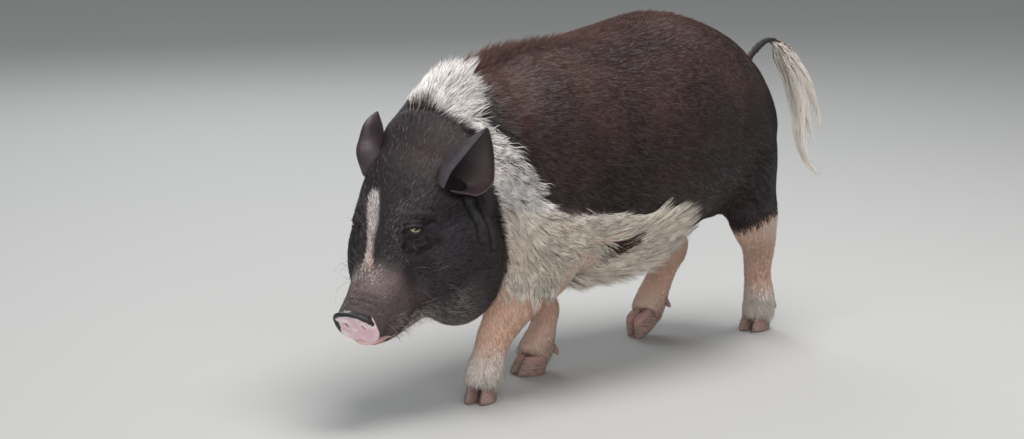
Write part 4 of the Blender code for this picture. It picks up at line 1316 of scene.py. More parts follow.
def turned(ways, across, angles):
    return ways * np.cos(angles)[:, None] + across * np.sin(angles)[:, None]


def tuftFaces(stations):
    return 1 + 6 * (stations - 2) + 3


def gatherWisps(roots, lines, s, draw):
    # draws each tuft towards the middle one of its wisp, more so at the tip
    count = max(len(roots) // s["wisp"], 1)
    heads = draw.choice(len(roots), count, replace=False)
    tree = KDTree(count)
    for i, head in enumerate(heads):
        tree.insert(roots[head].tolist(), i)
    tree.balance()
    own = heads[[tree.find(root)[1] for root in roots.tolist()]]
    pull = s["draw"] * draw.uniform(0.45, 1.0, len(roots))
    last = len(lines) - 1
    for i in range(1, last + 1):
        share = (i / last) ** 1.2
        lines[i] = lines[i] + (lines[i][own] - lines[i]) * (pull * share)[:, None]
    return own


def asIs(roots, m):
    return 1.0


def growCoat(name, kind, density, colourShares, material, seed, slot,
             lengthScale=asIs, stand=asIs, free=None):
    # scatters, lays and builds one kind of coat, in pieces of a fair size; lengthScale, stand and
    # free say how long, how raised and how loose from the skin each tuft is
    s = coatSettings[kind]
    steps = s["joints"]
    draw = np.random.default_rng(seed)
    roots, normals, flat = scatter(skin.data, s["count"], density, draw)
    m = marks(roots)
    ways = lieOf(roots, normals, m)
    across = np.cross(normals, ways)
    ways = turned(ways, across, draw.normal(0, s["spread"], len(roots)))
    lengths = s["length"] * draw.uniform(0.70, 1.20, len(roots)) * lengthScale(roots, m)
    lift = s["lift"] * stand(roots, m) * draw.uniform(0.55, 1.45, len(roots))
    places, facings = walkSkin(skinTree, roots, ways, lengths, steps)
    if free is not None:
        # where the skin ends, the tufts hang on straight past it
        loose = free(roots, m)[:, None]
        for i in range(1, steps + 1):
            straight = roots + ways * (lengths * i / steps)[:, None]
            places[i] = places[i] + (straight - places[i]) * loose
            facings[i - 1] = facings[i - 1] + (normals - facings[i - 1]) * loose
    lines = [roots - normals * 0.0010]
    phase = draw.uniform(0, math.tau, len(roots))
    for i in range(1, steps + 1):
        share = i / steps
        rise = 0.0005 + lift * lengths * share ** 1.15
        sway = s["wave"] * share ** 0.6 * np.sin(phase + math.tau * s["waves"] * share)
        lines.append(places[i] + facings[i - 1] * rise[:, None] + across * sway[:, None])
    values = colourShares(roots, m, draw)
    values["chance"] = draw.random(len(roots))
    if s["wisp"]:
        own = gatherWisps(roots, lines, s, draw)
        values["chance"] = 0.55 * values["chance"] + 0.45 * values["chance"][own]
    taper = np.linspace(1.0, 0.55, steps) if steps > 1 else [1.0]
    widths = s["width"] * draw.uniform(0.75, 1.25, len(roots))
    ups = [normals, *facings]
    most = mostFaces // tuftFaces(steps + 1)
    order = np.argsort(roots[:, 1], kind="stable")
    parts = -(-len(roots) // most)
    for part in range(parts):
        mine = order[part * len(order) // parts : (part + 1) * len(order) // parts]
        label = f"{name}{part + 1}" if parts > 1 else name
        tuftMesh(label, [line[mine] for line in lines], [up[mine] for up in ups], widths[mine],
                 s["thick"], taper, flat[mine], {key: value[mine] for key, value in values.items()},
                 material, slot)
    print(name, len(roots), "tufts,", len(roots) * tuftFaces(steps + 1), "faces")


def shortShares(roots, m, draw):
    # each tuft is dark or pale, by chance where the two meet
    n = len(roots)
    whole = np.maximum(np.maximum(m["white"], 0.63 * m["blaze"]), 0.43 * m["fan"])
    pale = whole + draw.normal(0, 0.10, n) * (whole > 0.03)
    dark = (pale < draw.uniform(0.3, 0.7, n)).astype(float)
    tan = np.maximum(m["leg"] * ease(roots[:, 2], 0.055, 0.085), 0.75 * m["far"])
    tan = tan * ease(-roots[:, 2], -0.20, -0.16)
    cream = 0.10 + 0.5 * m["belly"] + 0.70 * tan - 0.5 * m["blaze"]
    cream = np.clip(cream + draw.normal(0, 0.15, n), 0, 1)
    muzzle = np.clip(m["muzzle"] * 0.85 + m["jaw"] * 0.9, 0, 1) * (draw.random(n) < 0.7)
    # a few grey-brown hairs on the forehead, more of them between blaze and eye
    nape = m["head"] * ease(headPlaces(roots)[2], 0.045, 0.075)
    grey = draw.random(n) < 0.07 * nape + 0.5 * m["warm"]
    muzzle = np.maximum(muzzle, grey * draw.uniform(0.4, 0.9, n))
    brown = m["brown"] * draw.uniform(0.6, 1.2, n)
    brown = np.clip(brown + 0.20 * m["head"] * (draw.random(n) < 0.25), 0, 1)
    dark = dark * (1 - 0.35 * m["jaw"] * (draw.random(n) < 0.6))
    return {"dark": dark, "cream": cream, "muzzle": muzzle, "brown": brown}


def longShares(roots, m, draw):
    # long pale hair, with some dark and grey ones among it, most near its rear edge
    n = len(roots)
    f, x, z, angle = bodyPlaces(roots)
    rear = collarEdges(x, angle)[1]
    grizzle = 0.05 + 0.16 * ease(rear + 0.05 - f, 0.0, 0.05) * m["collar"] + 0.9 * m["spot"]
    dark = (draw.random(n) < grizzle).astype(float)
    cream = 0.10 + 0.75 * m["belly"] + 0.75 * ease(-z, -0.30, -0.17)
    cream = np.clip(cream + draw.normal(0, 0.15, n), 0, 1)
    return {"dark": dark, "cream": cream, "muzzle": np.zeros(n), "brown": draw.uniform(0.2, 1.0, n)}


def maneShares(roots, m, draw):
    # the ridge is grizzled between the ears and dark behind the collar
    n = len(roots)
    f = bodyPlaces(roots)[0]
    nape = ease(f, 0.33, 0.38)
    white = m["white"] > draw.uniform(0.35, 0.65, n)
    grey = (draw.random(n) < 0.30 * nape) & ~white
    return {"dark": 1.0 - white, "cream": np.full(n, 0.1), "muzzle": grey * 1.0,
            "brown": draw.uniform(0.2, 0.9, n) * (1 - 0.7 * nape)}


def bareShare(places):
    # the lower lip has no coat
    along, side, up = headPlaces(places)
    lip = distanceTo(foldedHead(places), headCreases["mouth"][0][:4])
    front = ease(along, 0.279, 0.289) * ease(-up, 0.030, 0.036)
    return np.maximum(ease(-lip, -0.0065, -0.0030) * (up < -0.036), front)


def inEars(places):
    return np.maximum(earHollow(places, 1)[0], earHollow(places, -1)[0])


def eyeClear(places, reach=1.35):
    clear = np.ones(len(places))
    for hand in (1, -1):
        distance, out, radius, v = eyeRoom(places, hand)
        clear *= 1 - ease(-out, -reach, -reach + 0.25) * (distance < 0.03)
    return clear


def dressSkin():
    # markings for each point, the lie of the fur, and the map that the bake reads
    mesh = skin.data
    places, normals = placesOf(mesh), normalsOf(mesh)
    m = marks(places)
    lie = lieOf(places, normals, m)
    values = {
        "dark": 1 - np.maximum(m["white"], 0.75 * m["blaze"]),
        "brown": m["brown"],
        "muzzle": m["muzzle"] * 0.9,
        "cream": ease(-places[:, 2], -0.30, -0.18),
        "bare": bareShare(places),
        "inEar": inEars(places),
        "foot": m["leg"] * ease(-places[:, 2], -0.095, -0.060) * (0.85 - 0.65 * m["far"]),
        "flow": flowOf(places, lie),
    }
    for label, value in values.items():
        setMark(mesh, label, value)
    bpy.ops.object.select_all(action="DESELECT")
    skin.select_set(True)
    bpy.context.view_layer.objects.active = skin
    mesh.uv_layers.new(name="OFBake")
    bpy.ops.object.mode_set(mode="EDIT")
    bpy.ops.mesh.select_all(action="SELECT")
    bpy.ops.uv.smart_project(angle_limit=math.radians(60), island_margin=0.002)
    bpy.ops.object.mode_set(mode="OBJECT")
    mesh.materials.append(makeSkinMaterial())
    mesh.shade_smooth()
    return m


skinMarks = dressSkin()
skinTree = BVHTree.FromObject(skin, bpy.context.evaluated_depsgraph_get())
print("skin dressed")

furMaterial = makeHairMaterial("shortFur", 0.50, 0.36, coatColours)
legMaterial = makeHairMaterial("legFur", 0.50, 0.36, legColours)
hairMaterial = makeHairMaterial("longHair", 0.46, 0.56, coatColours)


def growAll():
    m = skinMarks
    places = placesOf(skin.data)
    f, x, z, angle = bodyPlaces(places)
    along, side, up = headPlaces(places)
    longHair = np.maximum(m["collar"], m["belly"])
    bodyOnly = (1 - m["head"]) * (1 - m["leg"]) * (1 - 0.6 * longHair)
    growCoat("bodyFur", "body", bodyOnly + 0.001, shortShares, furMaterial, 11, "dark_coat")

    face = m["head"] * (1 - bareShare(places)) * eyeClear(places)
    face = face * (1 - ease(along, 0.292, 0.300)) * (1 - inEars(places))
    face = face * (0.6 + 0.7 * ease(along, 0.16, 0.25))
    growCoat("headFur", "head", face, shortShares, furMaterial, 12, "dark_face", lengthScale=faceLength)

    leg = m["leg"] * ease(z, 0.010, 0.020) * (1 - 0.5 * ease(z, 0.17, 0.26))
    leg = leg * (1 + 1.2 * ease(-z, -0.085, -0.055))
    growCoat("legFur", "legs", leg, shortShares, legMaterial, 13, "pale_leg", lengthScale=legLength,
             stand=lambda r, k: 1 + 0.8 * ease(-r[:, 2], -0.075, -0.045),
             free=lambda r, k: ease(-r[:, 2], -0.050, -0.036))

    collar = m["collar"] ** 1.5 * (1 - m["spot"]) * (1 - m["leg"] * ease(-z, -0.195, -0.150))
    growCoat("collarHair", "collar", collar, longShares, hairMaterial, 14, "white_hair",
             lengthScale=collarLength, stand=lambda r, k: 1.0 + 1.8 * ease(-bodyPlaces(r)[3], -22, -6))

    growCoat("bellyHair", "belly", m["belly"] ** 1.5, longShares, hairMaterial, 15, "white_hair",
             lengthScale=lambda r, k: 0.70 + 0.45 * ease(-bodyPlaces(r)[0], -0.16, -0.02),
             stand=lambda r, k: 1 + 3.6 * ease(bodyPlaces(r)[3], 138, 162))

    ridge = ease(-angle, -17, -4) * ease(f, -0.33, -0.27) * ease(-f, -0.435, -0.410)
    growCoat("maneHair", "mane", ridge * (1 - m["head"] * 0.5) + 1e-6, maneShares, hairMaterial, 16,
             "dark_coat", lengthScale=maneLength,
             stand=lambda r, k: 1 - 0.6 * ease(bodyPlaces(r)[3], 5, 14))


def faceLength(roots, m):
    # shorter towards the snout and round the eyes, longer along the jaw
    nearEye = ease(-eyeGap(roots), -0.022, -0.012)
    length = 1.35 - 0.70 * ease(headPlaces(roots)[0], 0.10, 0.26)
    return length * (1 + 0.9 * m["jaw"]) * (1 - 0.45 * nearEye)


def legLength(roots, m):
    # longer up the leg and over the claws
    z = roots[:, 2]
    return 0.85 + 0.50 * ease(z, 0.06, 0.16) + 0.25 * ease(-z, -0.070, -0.035)


def maneLength(roots, m):
    # longest over the shoulders, shorter to each side
    f, x, z, angle = bodyPlaces(roots)
    return (0.34 + 0.70 * ease(f, -0.02, 0.28)) * (1 - 0.45 * ease(angle, 5, 14))


def collarLength(roots, m):
    # the hair is short along the collar's front edge
    f, x, z, angle = bodyPlaces(roots)
    front = collarEdges(x, angle)[0]
    return (0.50 + 0.50 * ease(front - f, 0.004, 0.035)) * (0.86 + 0.3 * ease(-angle, -30, -5))


growAll()

# ears
def earGrid(hand):
    # places of the ear's middle layer, [row][column][xyz], with the way out from the cup
    s = earSettings
    rows, columns = s["grid"]
    root, axis, across, facing = (np.array(v) for v in earFrame(hand))
    shape = curve(s["rows"], rows)
    section = curve(s["section"], columns)
    grid = np.empty((rows, columns, 3))
    lowEnd, sink, deepEnd = (s[key][handName(hand)] for key in ("lowEnd", "sink", "deepEnd"))
    for i, (share, width, depth, roll, close) in enumerate(shape):
        width = float(earWidth(share, width, hand))
        letIn = sink * ease(-share, -0.45, 0.0) + deepEnd * ease(-share, -0.04, 0.22)
        base = root - facing * float(letIn)
        if share < 0:
            share = share * lowEnd
        for j, (v, deep, rolled, closed) in enumerate(section):
            level = share + max(s["lobeEnd"] - share, 0.0) * closed
            bend = 0.010 * share * share  # the tip leans back a little
            wave = 0.0012 * math.sin(5.2 * share + 2.1 * v) * ease(share, 0.05, 0.4)
            sideways = v * width / 2 - bend * 0.3 - closed * close
            raised = deep * depth + rolled * roll - bend + wave + 0.3 * closed * close
            grid[i, j] = base + axis * (level * s["length"]) + across * sideways + facing * raised
    out = unit(np.cross(np.gradient(grid, axis=0), np.gradient(grid, axis=1)), 1e-9)
    if (out[rows // 3, columns // 3] @ facing) > 0:
        out = -out
    return grid, out


def makeEar(hand):
    # a closed shell: the back and the inside, joined round a soft rim
    grid, out = earGrid(hand)
    rows, columns = grid.shape[:2]
    s = earSettings
    v = np.linspace(-1, 1, columns)[None, :]
    share = np.linspace(0, 1, rows)[:, None]
    edge = np.sqrt(np.clip(1 - np.abs(v) ** 6, 0, 1)) * np.clip(1.6 * (1 - share) ** 0.4, 0, 1)
    half = s["thick"] / 2 * np.clip(edge, 0.12, 1)
    half = half * (1 + 0.55 * np.exp(-((v - 0.82) / 0.16) ** 2)) * (1 + 1.1 * ease(-share, -0.35, 0.0))
    # three soft ridges run up the inside
    lines = sum(np.exp(-((v - ridge - 0.12 * share) / 0.05) ** 2) for ridge in s["ridges"])
    inside = 0.0011 * lines * ease(share, 0.05, 0.3) * ease(-share, -0.85, -0.5)
    back = grid + out * half[:, :, None]
    front = grid - out * (half + inside)[:, :, None]
    total = rows * columns
    places = np.concatenate([back.reshape(-1, 3), front.reshape(-1, 3)])
    faces = []
    for i in range(rows - 1):
        for j in range(columns - 1):
            a = i * columns + j
            faces.append((a, a + 1, a + columns + 1, a + columns))
            faces.append((total + a, total + a + columns, total + a + columns + 1, total + a + 1))
    border = list(range(columns)) + [i * columns + columns - 1 for i in range(1, rows)]
    border += [(rows - 1) * columns + j for j in range(columns - 2, -1, -1)]
    border += [i * columns for i in range(rows - 2, 0, -1)]
    for a, b in zip(border, border[1:] + border[:1]):
        faces.append((a, total + a, total + b, b))
    mesh = facesMesh("ear", places.tolist(), faces)
    place, normal = placesOf(mesh), normalsOf(mesh)
    axis = np.array(earFrame(hand)[1])
    lie = unit(axis - normal * (normal @ axis)[:, None])
    setMark(mesh, "inside", np.repeat((0, 1), total))
    setMark(mesh, "rise", np.tile(np.repeat(np.linspace(0, 1, rows), columns), 2))
    setMark(mesh, "round", np.tile(np.tile(np.linspace(-1, 1, columns), rows), 2))
    setMark(mesh, "flow", flowOf(place, lie))
    name = handName(hand)
    finishPiece("ear" + name.capitalize(), mesh, earMaterial, "dark_face", "ear_" + name)


def makeEarMaterial():
    material, shader = newMaterial("earSkin")
    tree = material.node_tree
    lines = useGroup(tree, "furLines", Flow=readVector(tree, "flow"), Scale=1.5)
    grain = useGroup(tree, "skinGrain", Scale=1.2)
    inside, rise, around = (readMark(tree, name) for name in ("inside", "rise", "round"))
    back = blend(tree, grain["Mottle"], (0.040, 0.028, 0.033), (0.066, 0.042, 0.047))
    hollow = blend(tree, stretch(tree, rise, 0.35, 0.75), (0.092, 0.062, 0.066), (0.036, 0.032, 0.034))
    hollow = blend(tree, stretch(tree, around, -0.66, -0.18), hollow, (0.012, 0.009, 0.010))
    colour = blend(tree, inside, back, hollow)
    # painted highlight: a lighter grey-lilac band on the back face along the rolled front rim
    rim = stretch(tree, around, 0.52, 0.80)
    rim = sums(tree, "MULTIPLY", rim, stretch(tree, inside, 1.0, 0.0))
    colour = blend(tree, rim, colour, (0.085, 0.082, 0.105))
    light = sums(tree, "MULTIPLY_ADD", lines["Line"], 0.5, 0.75)
    feed(tree, shader.inputs["Base Color"], shaded(tree, colour, light))
    feed(tree, shader.inputs["Roughness"], stretch(tree, grain["Mottle"], 0.0, 1.0, 0.52, 0.40))
    addBump(tree, shader, sums(tree, "ADD", grain["Height"], lines["Height"]), 0.35, 0.0007)
    return material


earMaterial = makeEarMaterial()
for earHand in (1, -1):
    makeEar(earHand)
print("ears made")

# nose
noseSettings = {
    "roll": -2.0,
    "lift": 0.0038,
    "shift": 0.0020,
    "half": (0.0318, 0.0265),
    # distance along the head from the disc's middle, size
    "rows": ((-0.016, 0.80), (-0.011, 0.86), (-0.006, 0.93), (-0.003, 1.01), (0.0000, 1.075),
             (0.0030, 1.06), (0.0042, 0.99), (0.0042, 0.90), (0.0036, 0.74), (0.0030, 0.52),
             (0.0028, 0.28), (0.0028, 0.05)),
    "nostril": (0.0135, 0.0030, 0.0040, 0.0055),  # side, up, half width, half height
    "nostrilDepth": 0.0070,
    "steps": 62,  # rings over the disc, the face from faceStep on
    "faceStep": 27,
    "corners": 128,
    "power": 2 / 2.6,  # below 1 squares the outline
}


def noseFrame():
    s = noseSettings
    turn = Matrix.Rotation(math.radians(s["roll"]), 3, headAlong)
    centre = at(*formSettings["noseCentre"]) + headUp * s["lift"] + headSide * s["shift"]
    centre = centre - headAlong * skinSettings["snoutBack"]
    return centre, turn @ headSide, turn @ headUp


def nostrilGap(y, z):
    # how many nostrils out from the nearer one's middle
    side, up, wide, high = noseSettings["nostril"]
    return [math.hypot((y - hand * side) / wide, (z - up) / high) for hand in (1, -1)]


def roundedCorner(value, power):
    return math.copysign(abs(value) ** power, value)


def makeNose():
    s = noseSettings
    centre, side, up = noseFrame()
    rings, corners = curve(s["rows"], s["steps"]), s["corners"]
    places, seen = [], []
    for step, (ahead, size) in enumerate(rings):
        for k in range(corners):
            angle = math.tau * k / corners
            c, t = math.cos(angle), math.sin(angle)
            y = roundedCorner(c, s["power"]) * s["half"][0] * size
            z = roundedCorner(t, s["power"]) * s["half"][1] * size
            # the rim is thick above, notched below, and the face has two lobes
            x = ahead + 0.0022 * max(t, 0.0) ** 2 * math.exp(-(((size - 1.03) / 0.10) ** 2))
            z += 0.0030 * math.exp(-((y / 0.0070) ** 2)) * max(-t, 0.0) ** 3 * size
            gaps = nostrilGap(y, z) if step >= s["faceStep"] else ()
            for gap in gaps:
                x += 0.0016 * math.exp(-(((gap - 1.35) / 0.40) ** 2))
                x -= s["nostrilDepth"] * float(ease(-gap, -1.05, -0.62))
            if gaps:
                x -= 0.0012 * math.exp(-((y / 0.0032) ** 2)) * (1 - 0.4 * size)
                x += 0.0003 * math.sin(900 * y + 5 * math.sin(300 * z)) * float(ease(size, 0.2, 0.5))
            places.append(centre + headAlong * x + side * y + up * z)
            seen.append((y / s["half"][0], z / s["half"][1], min(gaps, default=9.0)))
    faces = []
    for i in range(len(rings) - 1):
        for k in range(corners):
            a, b = i * corners + k, i * corners + (k + 1) % corners
            faces.append((a, b, b + corners, a + corners))
    faces.append(tuple(range(corners))[::-1])
    faces.append(tuple((len(rings) - 1) * corners + k for k in range(corners)))
    mesh = facesMesh("nose", places, faces)
    for label, values in zip(("across", "level", "hole"), zip(*seen)):
        setMark(mesh, label, values)
    finishPiece("nose", mesh, makeNoseMaterial(), "nose", "snout")


def makeNoseMaterial():
    material, shader = newMaterial("nosePad")
    tree = material.node_tree
    grain = useGroup(tree, "skinGrain", Scale=1.7)
    across, level, hole = (readMark(tree, name) for name in ("across", "level", "hole"))
    ragged = sums(tree, "MULTIPLY_ADD", speckle(tree, objectPlace(tree), 70.0, 3.0), 0.55, -0.28)
    pink = blend(tree, grain["Mottle"], (0.78, 0.54, 0.60), (0.90, 0.77, 0.82))
    bow = sums(tree, "MULTIPLY_ADD", sums(tree, "MULTIPLY", across, across), 0.50, level)
    top = stretch(tree, sums(tree, "ADD", bow, ragged), 0.80, 0.90)
    right = stretch(tree, sums(tree, "ADD", sums(tree, "MULTIPLY", across, -1.0), ragged), 0.76, 0.86)
    dark = sums(tree, "MAXIMUM", top, right)
    colour = blend(tree, dark, pink, (0.010, 0.007, 0.009))
    colour = blend(tree, stretch(tree, hole, 1.0, 0.62), colour, (0.36, 0.17, 0.17))
    feed(tree, shader.inputs["Base Color"], colour)
    feed(tree, shader.inputs["Roughness"], stretch(tree, grain["Mottle"], 0.0, 1.0, 0.42, 0.26))
    shader.inputs["Coat Weight"].default_value = 0.12
    addBump(tree, shader, grain["Height"], 0.45, 0.0008)
    return material


makeNose()
print("nose made")

# eyes
# share of the socket's radius, degrees that the iris looks up, how far the front bulges
irisSettings = {"size": 0.985, "raised": 18.0, "bulge": 0.0005}


def makeEye(hand, material):
    centre, radius, look, across, upward = eyeFrame(hand)
    axes, size = (across, upward, look), radius * irisSettings["size"]
    mesh = meshOf("eye", lambda bm: ellipsoid(bm, Vector((0, 0, 0)), axes, (size,) * 3, 64), turnOut=False)
    places = placesOf(mesh)
    look = Matrix.Rotation(math.radians(irisSettings["raised"]), 3, across) @ look
    if look.dot(upward) < 0:
        look = Matrix.Rotation(math.radians(-2 * irisSettings["raised"]), 3, across) @ look
    towards = places @ np.array(look) / radius
    out = np.degrees(np.arccos(np.clip(towards, -1, 1))) / 90
    places = places * (1 + irisSettings["bulge"] / radius * ease(-out, -0.55, -0.2))[:, None]
    h, v = places @ np.array(across), places @ np.array(upward)
    setPlaces(mesh, places + np.array(centre))
    setMark(mesh, "fromMiddle", out)
    setMark(mesh, "spoke", np.stack([h, v, 0 * v], axis=1) / radius)
    name = handName(hand)
    finishPiece("eye" + name.capitalize(), mesh, material, "eye", "eye_" + name)


def makeEyeMaterial():
    material, shader = newMaterial("eyeWet")
    tree = material.node_tree
    out = readMark(tree, "fromMiddle")
    flat = newNode(tree, "ShaderNodeVectorMath", operation="NORMALIZE")
    feed(tree, flat.inputs[0], readVector(tree, "spoke"))
    rays = speckle(tree, flat.outputs[0], 9.0, 4.0, 0.7)
    amber = blend(tree, stretch(tree, rays, 0.35, 0.65), (0.16, 0.105, 0.030), (0.42, 0.33, 0.13))
    amber = blend(tree, stretch(tree, out, 0.54, 0.64), amber, (0.10, 0.05, 0.018))
    colour = blend(tree, stretch(tree, out, 0.33, 0.37), (0.004, 0.003, 0.003), amber)
    colour = blend(tree, stretch(tree, out, 0.64, 0.72), colour, (0.20, 0.13, 0.12))
    feed(tree, shader.inputs["Base Color"], colour)
    shader.inputs["Roughness"].default_value = 0.30
    shader.inputs["Coat Weight"].default_value = 1.0
    shader.inputs["Coat Roughness"].default_value = 0.03
    return material


eyeMaterial = makeEyeMaterial()
for eyeHand in (1, -1):
    makeEye(eyeHand, eyeMaterial)
print("eyes made")

# claws
footSettings = {
    # f, x, degrees outward and degrees pitched forward
    "feet": {
        "foreleg_left": (0.342, 0.057, 22, 0), "foreleg_right": (0.164, -0.017, 16, 0),
        "hindleg_left": (-0.315, 0.036, 8, 0), "hindleg_right": (-0.1625, -0.062, 16, 38),
    },
    "half": (0.0204, 0.0108),
    "height": 0.026,
    "toeFlat": 0.003,
    "heel": 1.32,
    "spread": 0.0112,
    # height, size and set back of each section of a claw
    "sections": ((0.00, 0.60, 0.10), (0.005, 0.84, 0.06), (0.04, 0.93, 0.02), (0.12, 0.985, 0.0),
                 (0.24, 1.0, 0.03), (0.42, 0.965, 0.10), (0.62, 0.90, 0.18), (0.82, 0.82, 0.26),
                 (0.97, 0.74, 0.31), (1.12, 0.62, 0.36)),
    "power": 0.87,  # below 1 squares the outline
    "dew": (0.0065, 0.018),
    # the dewclaw's size by its share from root to tip
    "dewShares": (-0.35, 0.0, 0.4, 0.75, 0.93, 1.0),
    "dewSizes": (1.0, 1.0, 0.88, 0.62, 0.36, 0.10),
}


def footAxes(leg):
    f, x, outward, pitch = footSettings["feet"][leg]
    hand = 1 if leg.endswith("left") else -1
    turn = math.radians(outward) * hand
    ahead = Vector((math.sin(turn), -math.cos(turn), 0))
    side = Vector((math.cos(turn), math.sin(turn), 0))
    return at(f, x, 0), ahead, side, math.radians(pitch)


def clawRing(centre, ahead, side, long, wide, hand, corners=48):
    # pointed in front, flat towards the other claw
    points = []
    for k in range(corners):
        angle = math.tau * k / corners
        c, s = math.cos(angle), math.sin(angle)
        narrow = 1 - 0.50 * max(c, 0) ** 1.9
        y = roundedCorner(s, footSettings["power"]) * wide * narrow
        if y * hand < 0:
            y *= 0.86
        reach = long * (1.0 if c > 0 else footSettings["heel"])
        points.append(centre + ahead * (roundedCorner(c, footSettings["power"]) * reach) + side * y)
    return points


def makeClaw(leg, hand, material):
    s = footSettings
    middle, ahead, side, pitch = footAxes(leg)
    rings = []
    for rise, shrink, back in curve(s["sections"], 44):
        # fine growth rings, and a soft band where the claw leaves the skin
        step = 1 + 0.007 * math.sin(rise * 42) * float(ease(rise, 0.1, 0.3))
        step = step + 0.05 * math.exp(-(((rise - 0.90) / 0.07) ** 2))
        centre = middle + side * (hand * s["spread"]) - ahead * (back * s["half"][0])
        centre = centre + Vector((0, 0, rise * s["height"]))
        long, wide = (half * shrink * step for half in s["half"])
        rings.append(clawRing(centre, ahead, side, long, wide, hand))
    if pitch:
        toe = middle + ahead * s["half"][0]
        turn = Matrix.Rotation(pitch, 3, side)
        if (turn @ Vector((0, 0, 1))).dot(ahead) < 0:
            turn = Matrix.Rotation(-pitch, 3, side)
        low = Vector((0, 0, s["toeFlat"]))
        rings = [[toe + turn @ (p - toe) - low for p in points] for points in rings]
    rings = [[Vector((p.x, p.y, max(p.z, 0.0))) for p in points] for points in rings]
    finishClaw(f"claw_{leg}_{handName(hand)}", material, rings)


def finishClaw(node, material, rings):
    mesh = meshOf(node, lambda bm: loft(bm, rings))
    setMark(mesh, "rise", np.repeat(np.linspace(0, 1, len(rings)), len(rings[0])))
    first, *rest = node.split("_")
    name = first + "".join(word.capitalize() for word in rest)
    finishPiece(name, mesh, material, "claw", node)


def makeDewclaw(leg, hand, material):
    radius, length = footSettings["dew"]
    middle, ahead, side, pitch = footAxes(leg)
    rows = list(legRows[leg].values())
    top = at(*rows[-2][:3]) + side * (hand * 0.011) - ahead * 0.014
    if pitch:
        top = top + Vector((0, 0, 0.006))
    tip = top - ahead * 0.014 + side * (hand * 0.004) - Vector((0, 0, length))
    lead = (tip - top).normalized()
    across = (side - lead * side.dot(lead)).normalized()
    rings = []
    for t in np.linspace(-0.35, 1, 26):
        size = radius * float(np.interp(t, footSettings["dewShares"], footSettings["dewSizes"]))
        size *= 1 + 0.02 * math.sin(t * 40)
        rings.append(ring(top.lerp(tip, t), across, lead.cross(across), size, size, size, corners=28))
    finishClaw(f"dewclaw_{leg}_{handName(hand)}", material, rings)


def makeClawMaterial():
    material, shader = newMaterial("clawHorn")
    tree = material.node_tree
    grain = useGroup(tree, "skinGrain", Scale=0.7)
    rise = readMark(tree, "rise")
    squash = newNode(tree, "ShaderNodeVectorMath", operation="MULTIPLY")
    feed(tree, squash.inputs[0], objectPlace(tree))
    squash.inputs[1].default_value = (1.0, 1.0, 7.0)
    bands = speckle(tree, squash.outputs[0], 120.0, 3.0)
    horn = blend(tree, stretch(tree, bands, 0.35, 0.65), (0.20, 0.125, 0.105), (0.36, 0.245, 0.205))
    horn = blend(tree, stretch(tree, rise, 0.62, 0.95), horn, (0.42, 0.25, 0.21))
    horn = blend(tree, stretch(tree, rise, 0.22, 0.08), horn, (0.16, 0.11, 0.09))
    feed(tree, shader.inputs["Base Color"], horn)
    feed(tree, shader.inputs["Roughness"], stretch(tree, bands, 0.3, 0.7, 0.60, 0.42))
    pores = sums(tree, "MULTIPLY", grain["Height"], 0.4)
    addBump(tree, shader, sums(tree, "ADD", bands, pores), 0.5, 0.0008)
    return material


clawMaterial = makeClawMaterial()
for clawLeg in legRows:
    for clawHand in (1, -1):
        makeClaw(clawLeg, clawHand, clawMaterial)
        makeDewclaw(clawLeg, clawHand, clawMaterial)
print("claws made")

# the lower lip
lipSettings = {
    # along, side, up, radius across and up, from the middle to the corner
    "rows": ((0.2935, 0.000, -0.0300, 0.0092, 0.0046), (0.2915, 0.009, -0.0304, 0.0086, 0.0045),
             (0.2865, 0.018, -0.0316, 0.0070, 0.0042), (0.2770, 0.0265, -0.0336, 0.0052, 0.0036),
             (0.2610, 0.0345, -0.0362, 0.0036, 0.0028), (0.2430, 0.0395, -0.0368, 0.0014, 0.0012)),
    "steps": 90,
    "corners": 28,
}


def makeLip():
    half = [np.array(row) for row in lipSettings["rows"]]
    rows = [row * (1, -1, 1, 1, 1) for row in half[:0:-1]] + half
    steps, corners = lipSettings["steps"], lipSettings["corners"]
    path = curve(rows, steps)
    rings = []
    for i, (along, side, up, wide, high) in enumerate(path):
        lead = onHead(*path[min(i + 1, steps - 1)][:3]) - onHead(*path[max(i - 1, 0)][:3])
        across = headUp.cross(lead.normalized()).normalized()
        fold = 1 + 0.05 * math.sin(i * 1.9) + 0.04 * math.sin(i * 3.1)
        place = onHead(along, side, up)
        rings.append(ring(place, across, headUp, wide * fold, high, high, corners=corners))
    mesh = meshOf("lip", lambda bm: loft(bm, rings))
    setMark(mesh, "away", np.repeat(np.abs(np.linspace(-1, 1, steps)), corners))
    finishPiece("lowerLip", mesh, makeLipMaterial(), "nose")


def makeLipMaterial():
    material, shader = newMaterial("lipWet")
    tree = material.node_tree
    grain = useGroup(tree, "skinGrain", Scale=1.5)
    pink = blend(tree, grain["Mottle"], (0.66, 0.34, 0.34), (0.84, 0.60, 0.58))
    corner = blend(tree, grain["Mottle"], (0.30, 0.20, 0.17), (0.52, 0.42, 0.34))
    colour = blend(tree, stretch(tree, readMark(tree, "away"), 0.30, 0.55), pink, corner)
    feed(tree, shader.inputs["Base Color"], colour)
    shader.inputs["Roughness"].default_value = 0.36
    addBump(tree, shader, grain["Height"], 0.5, 0.0007)
    return material


makeLip()

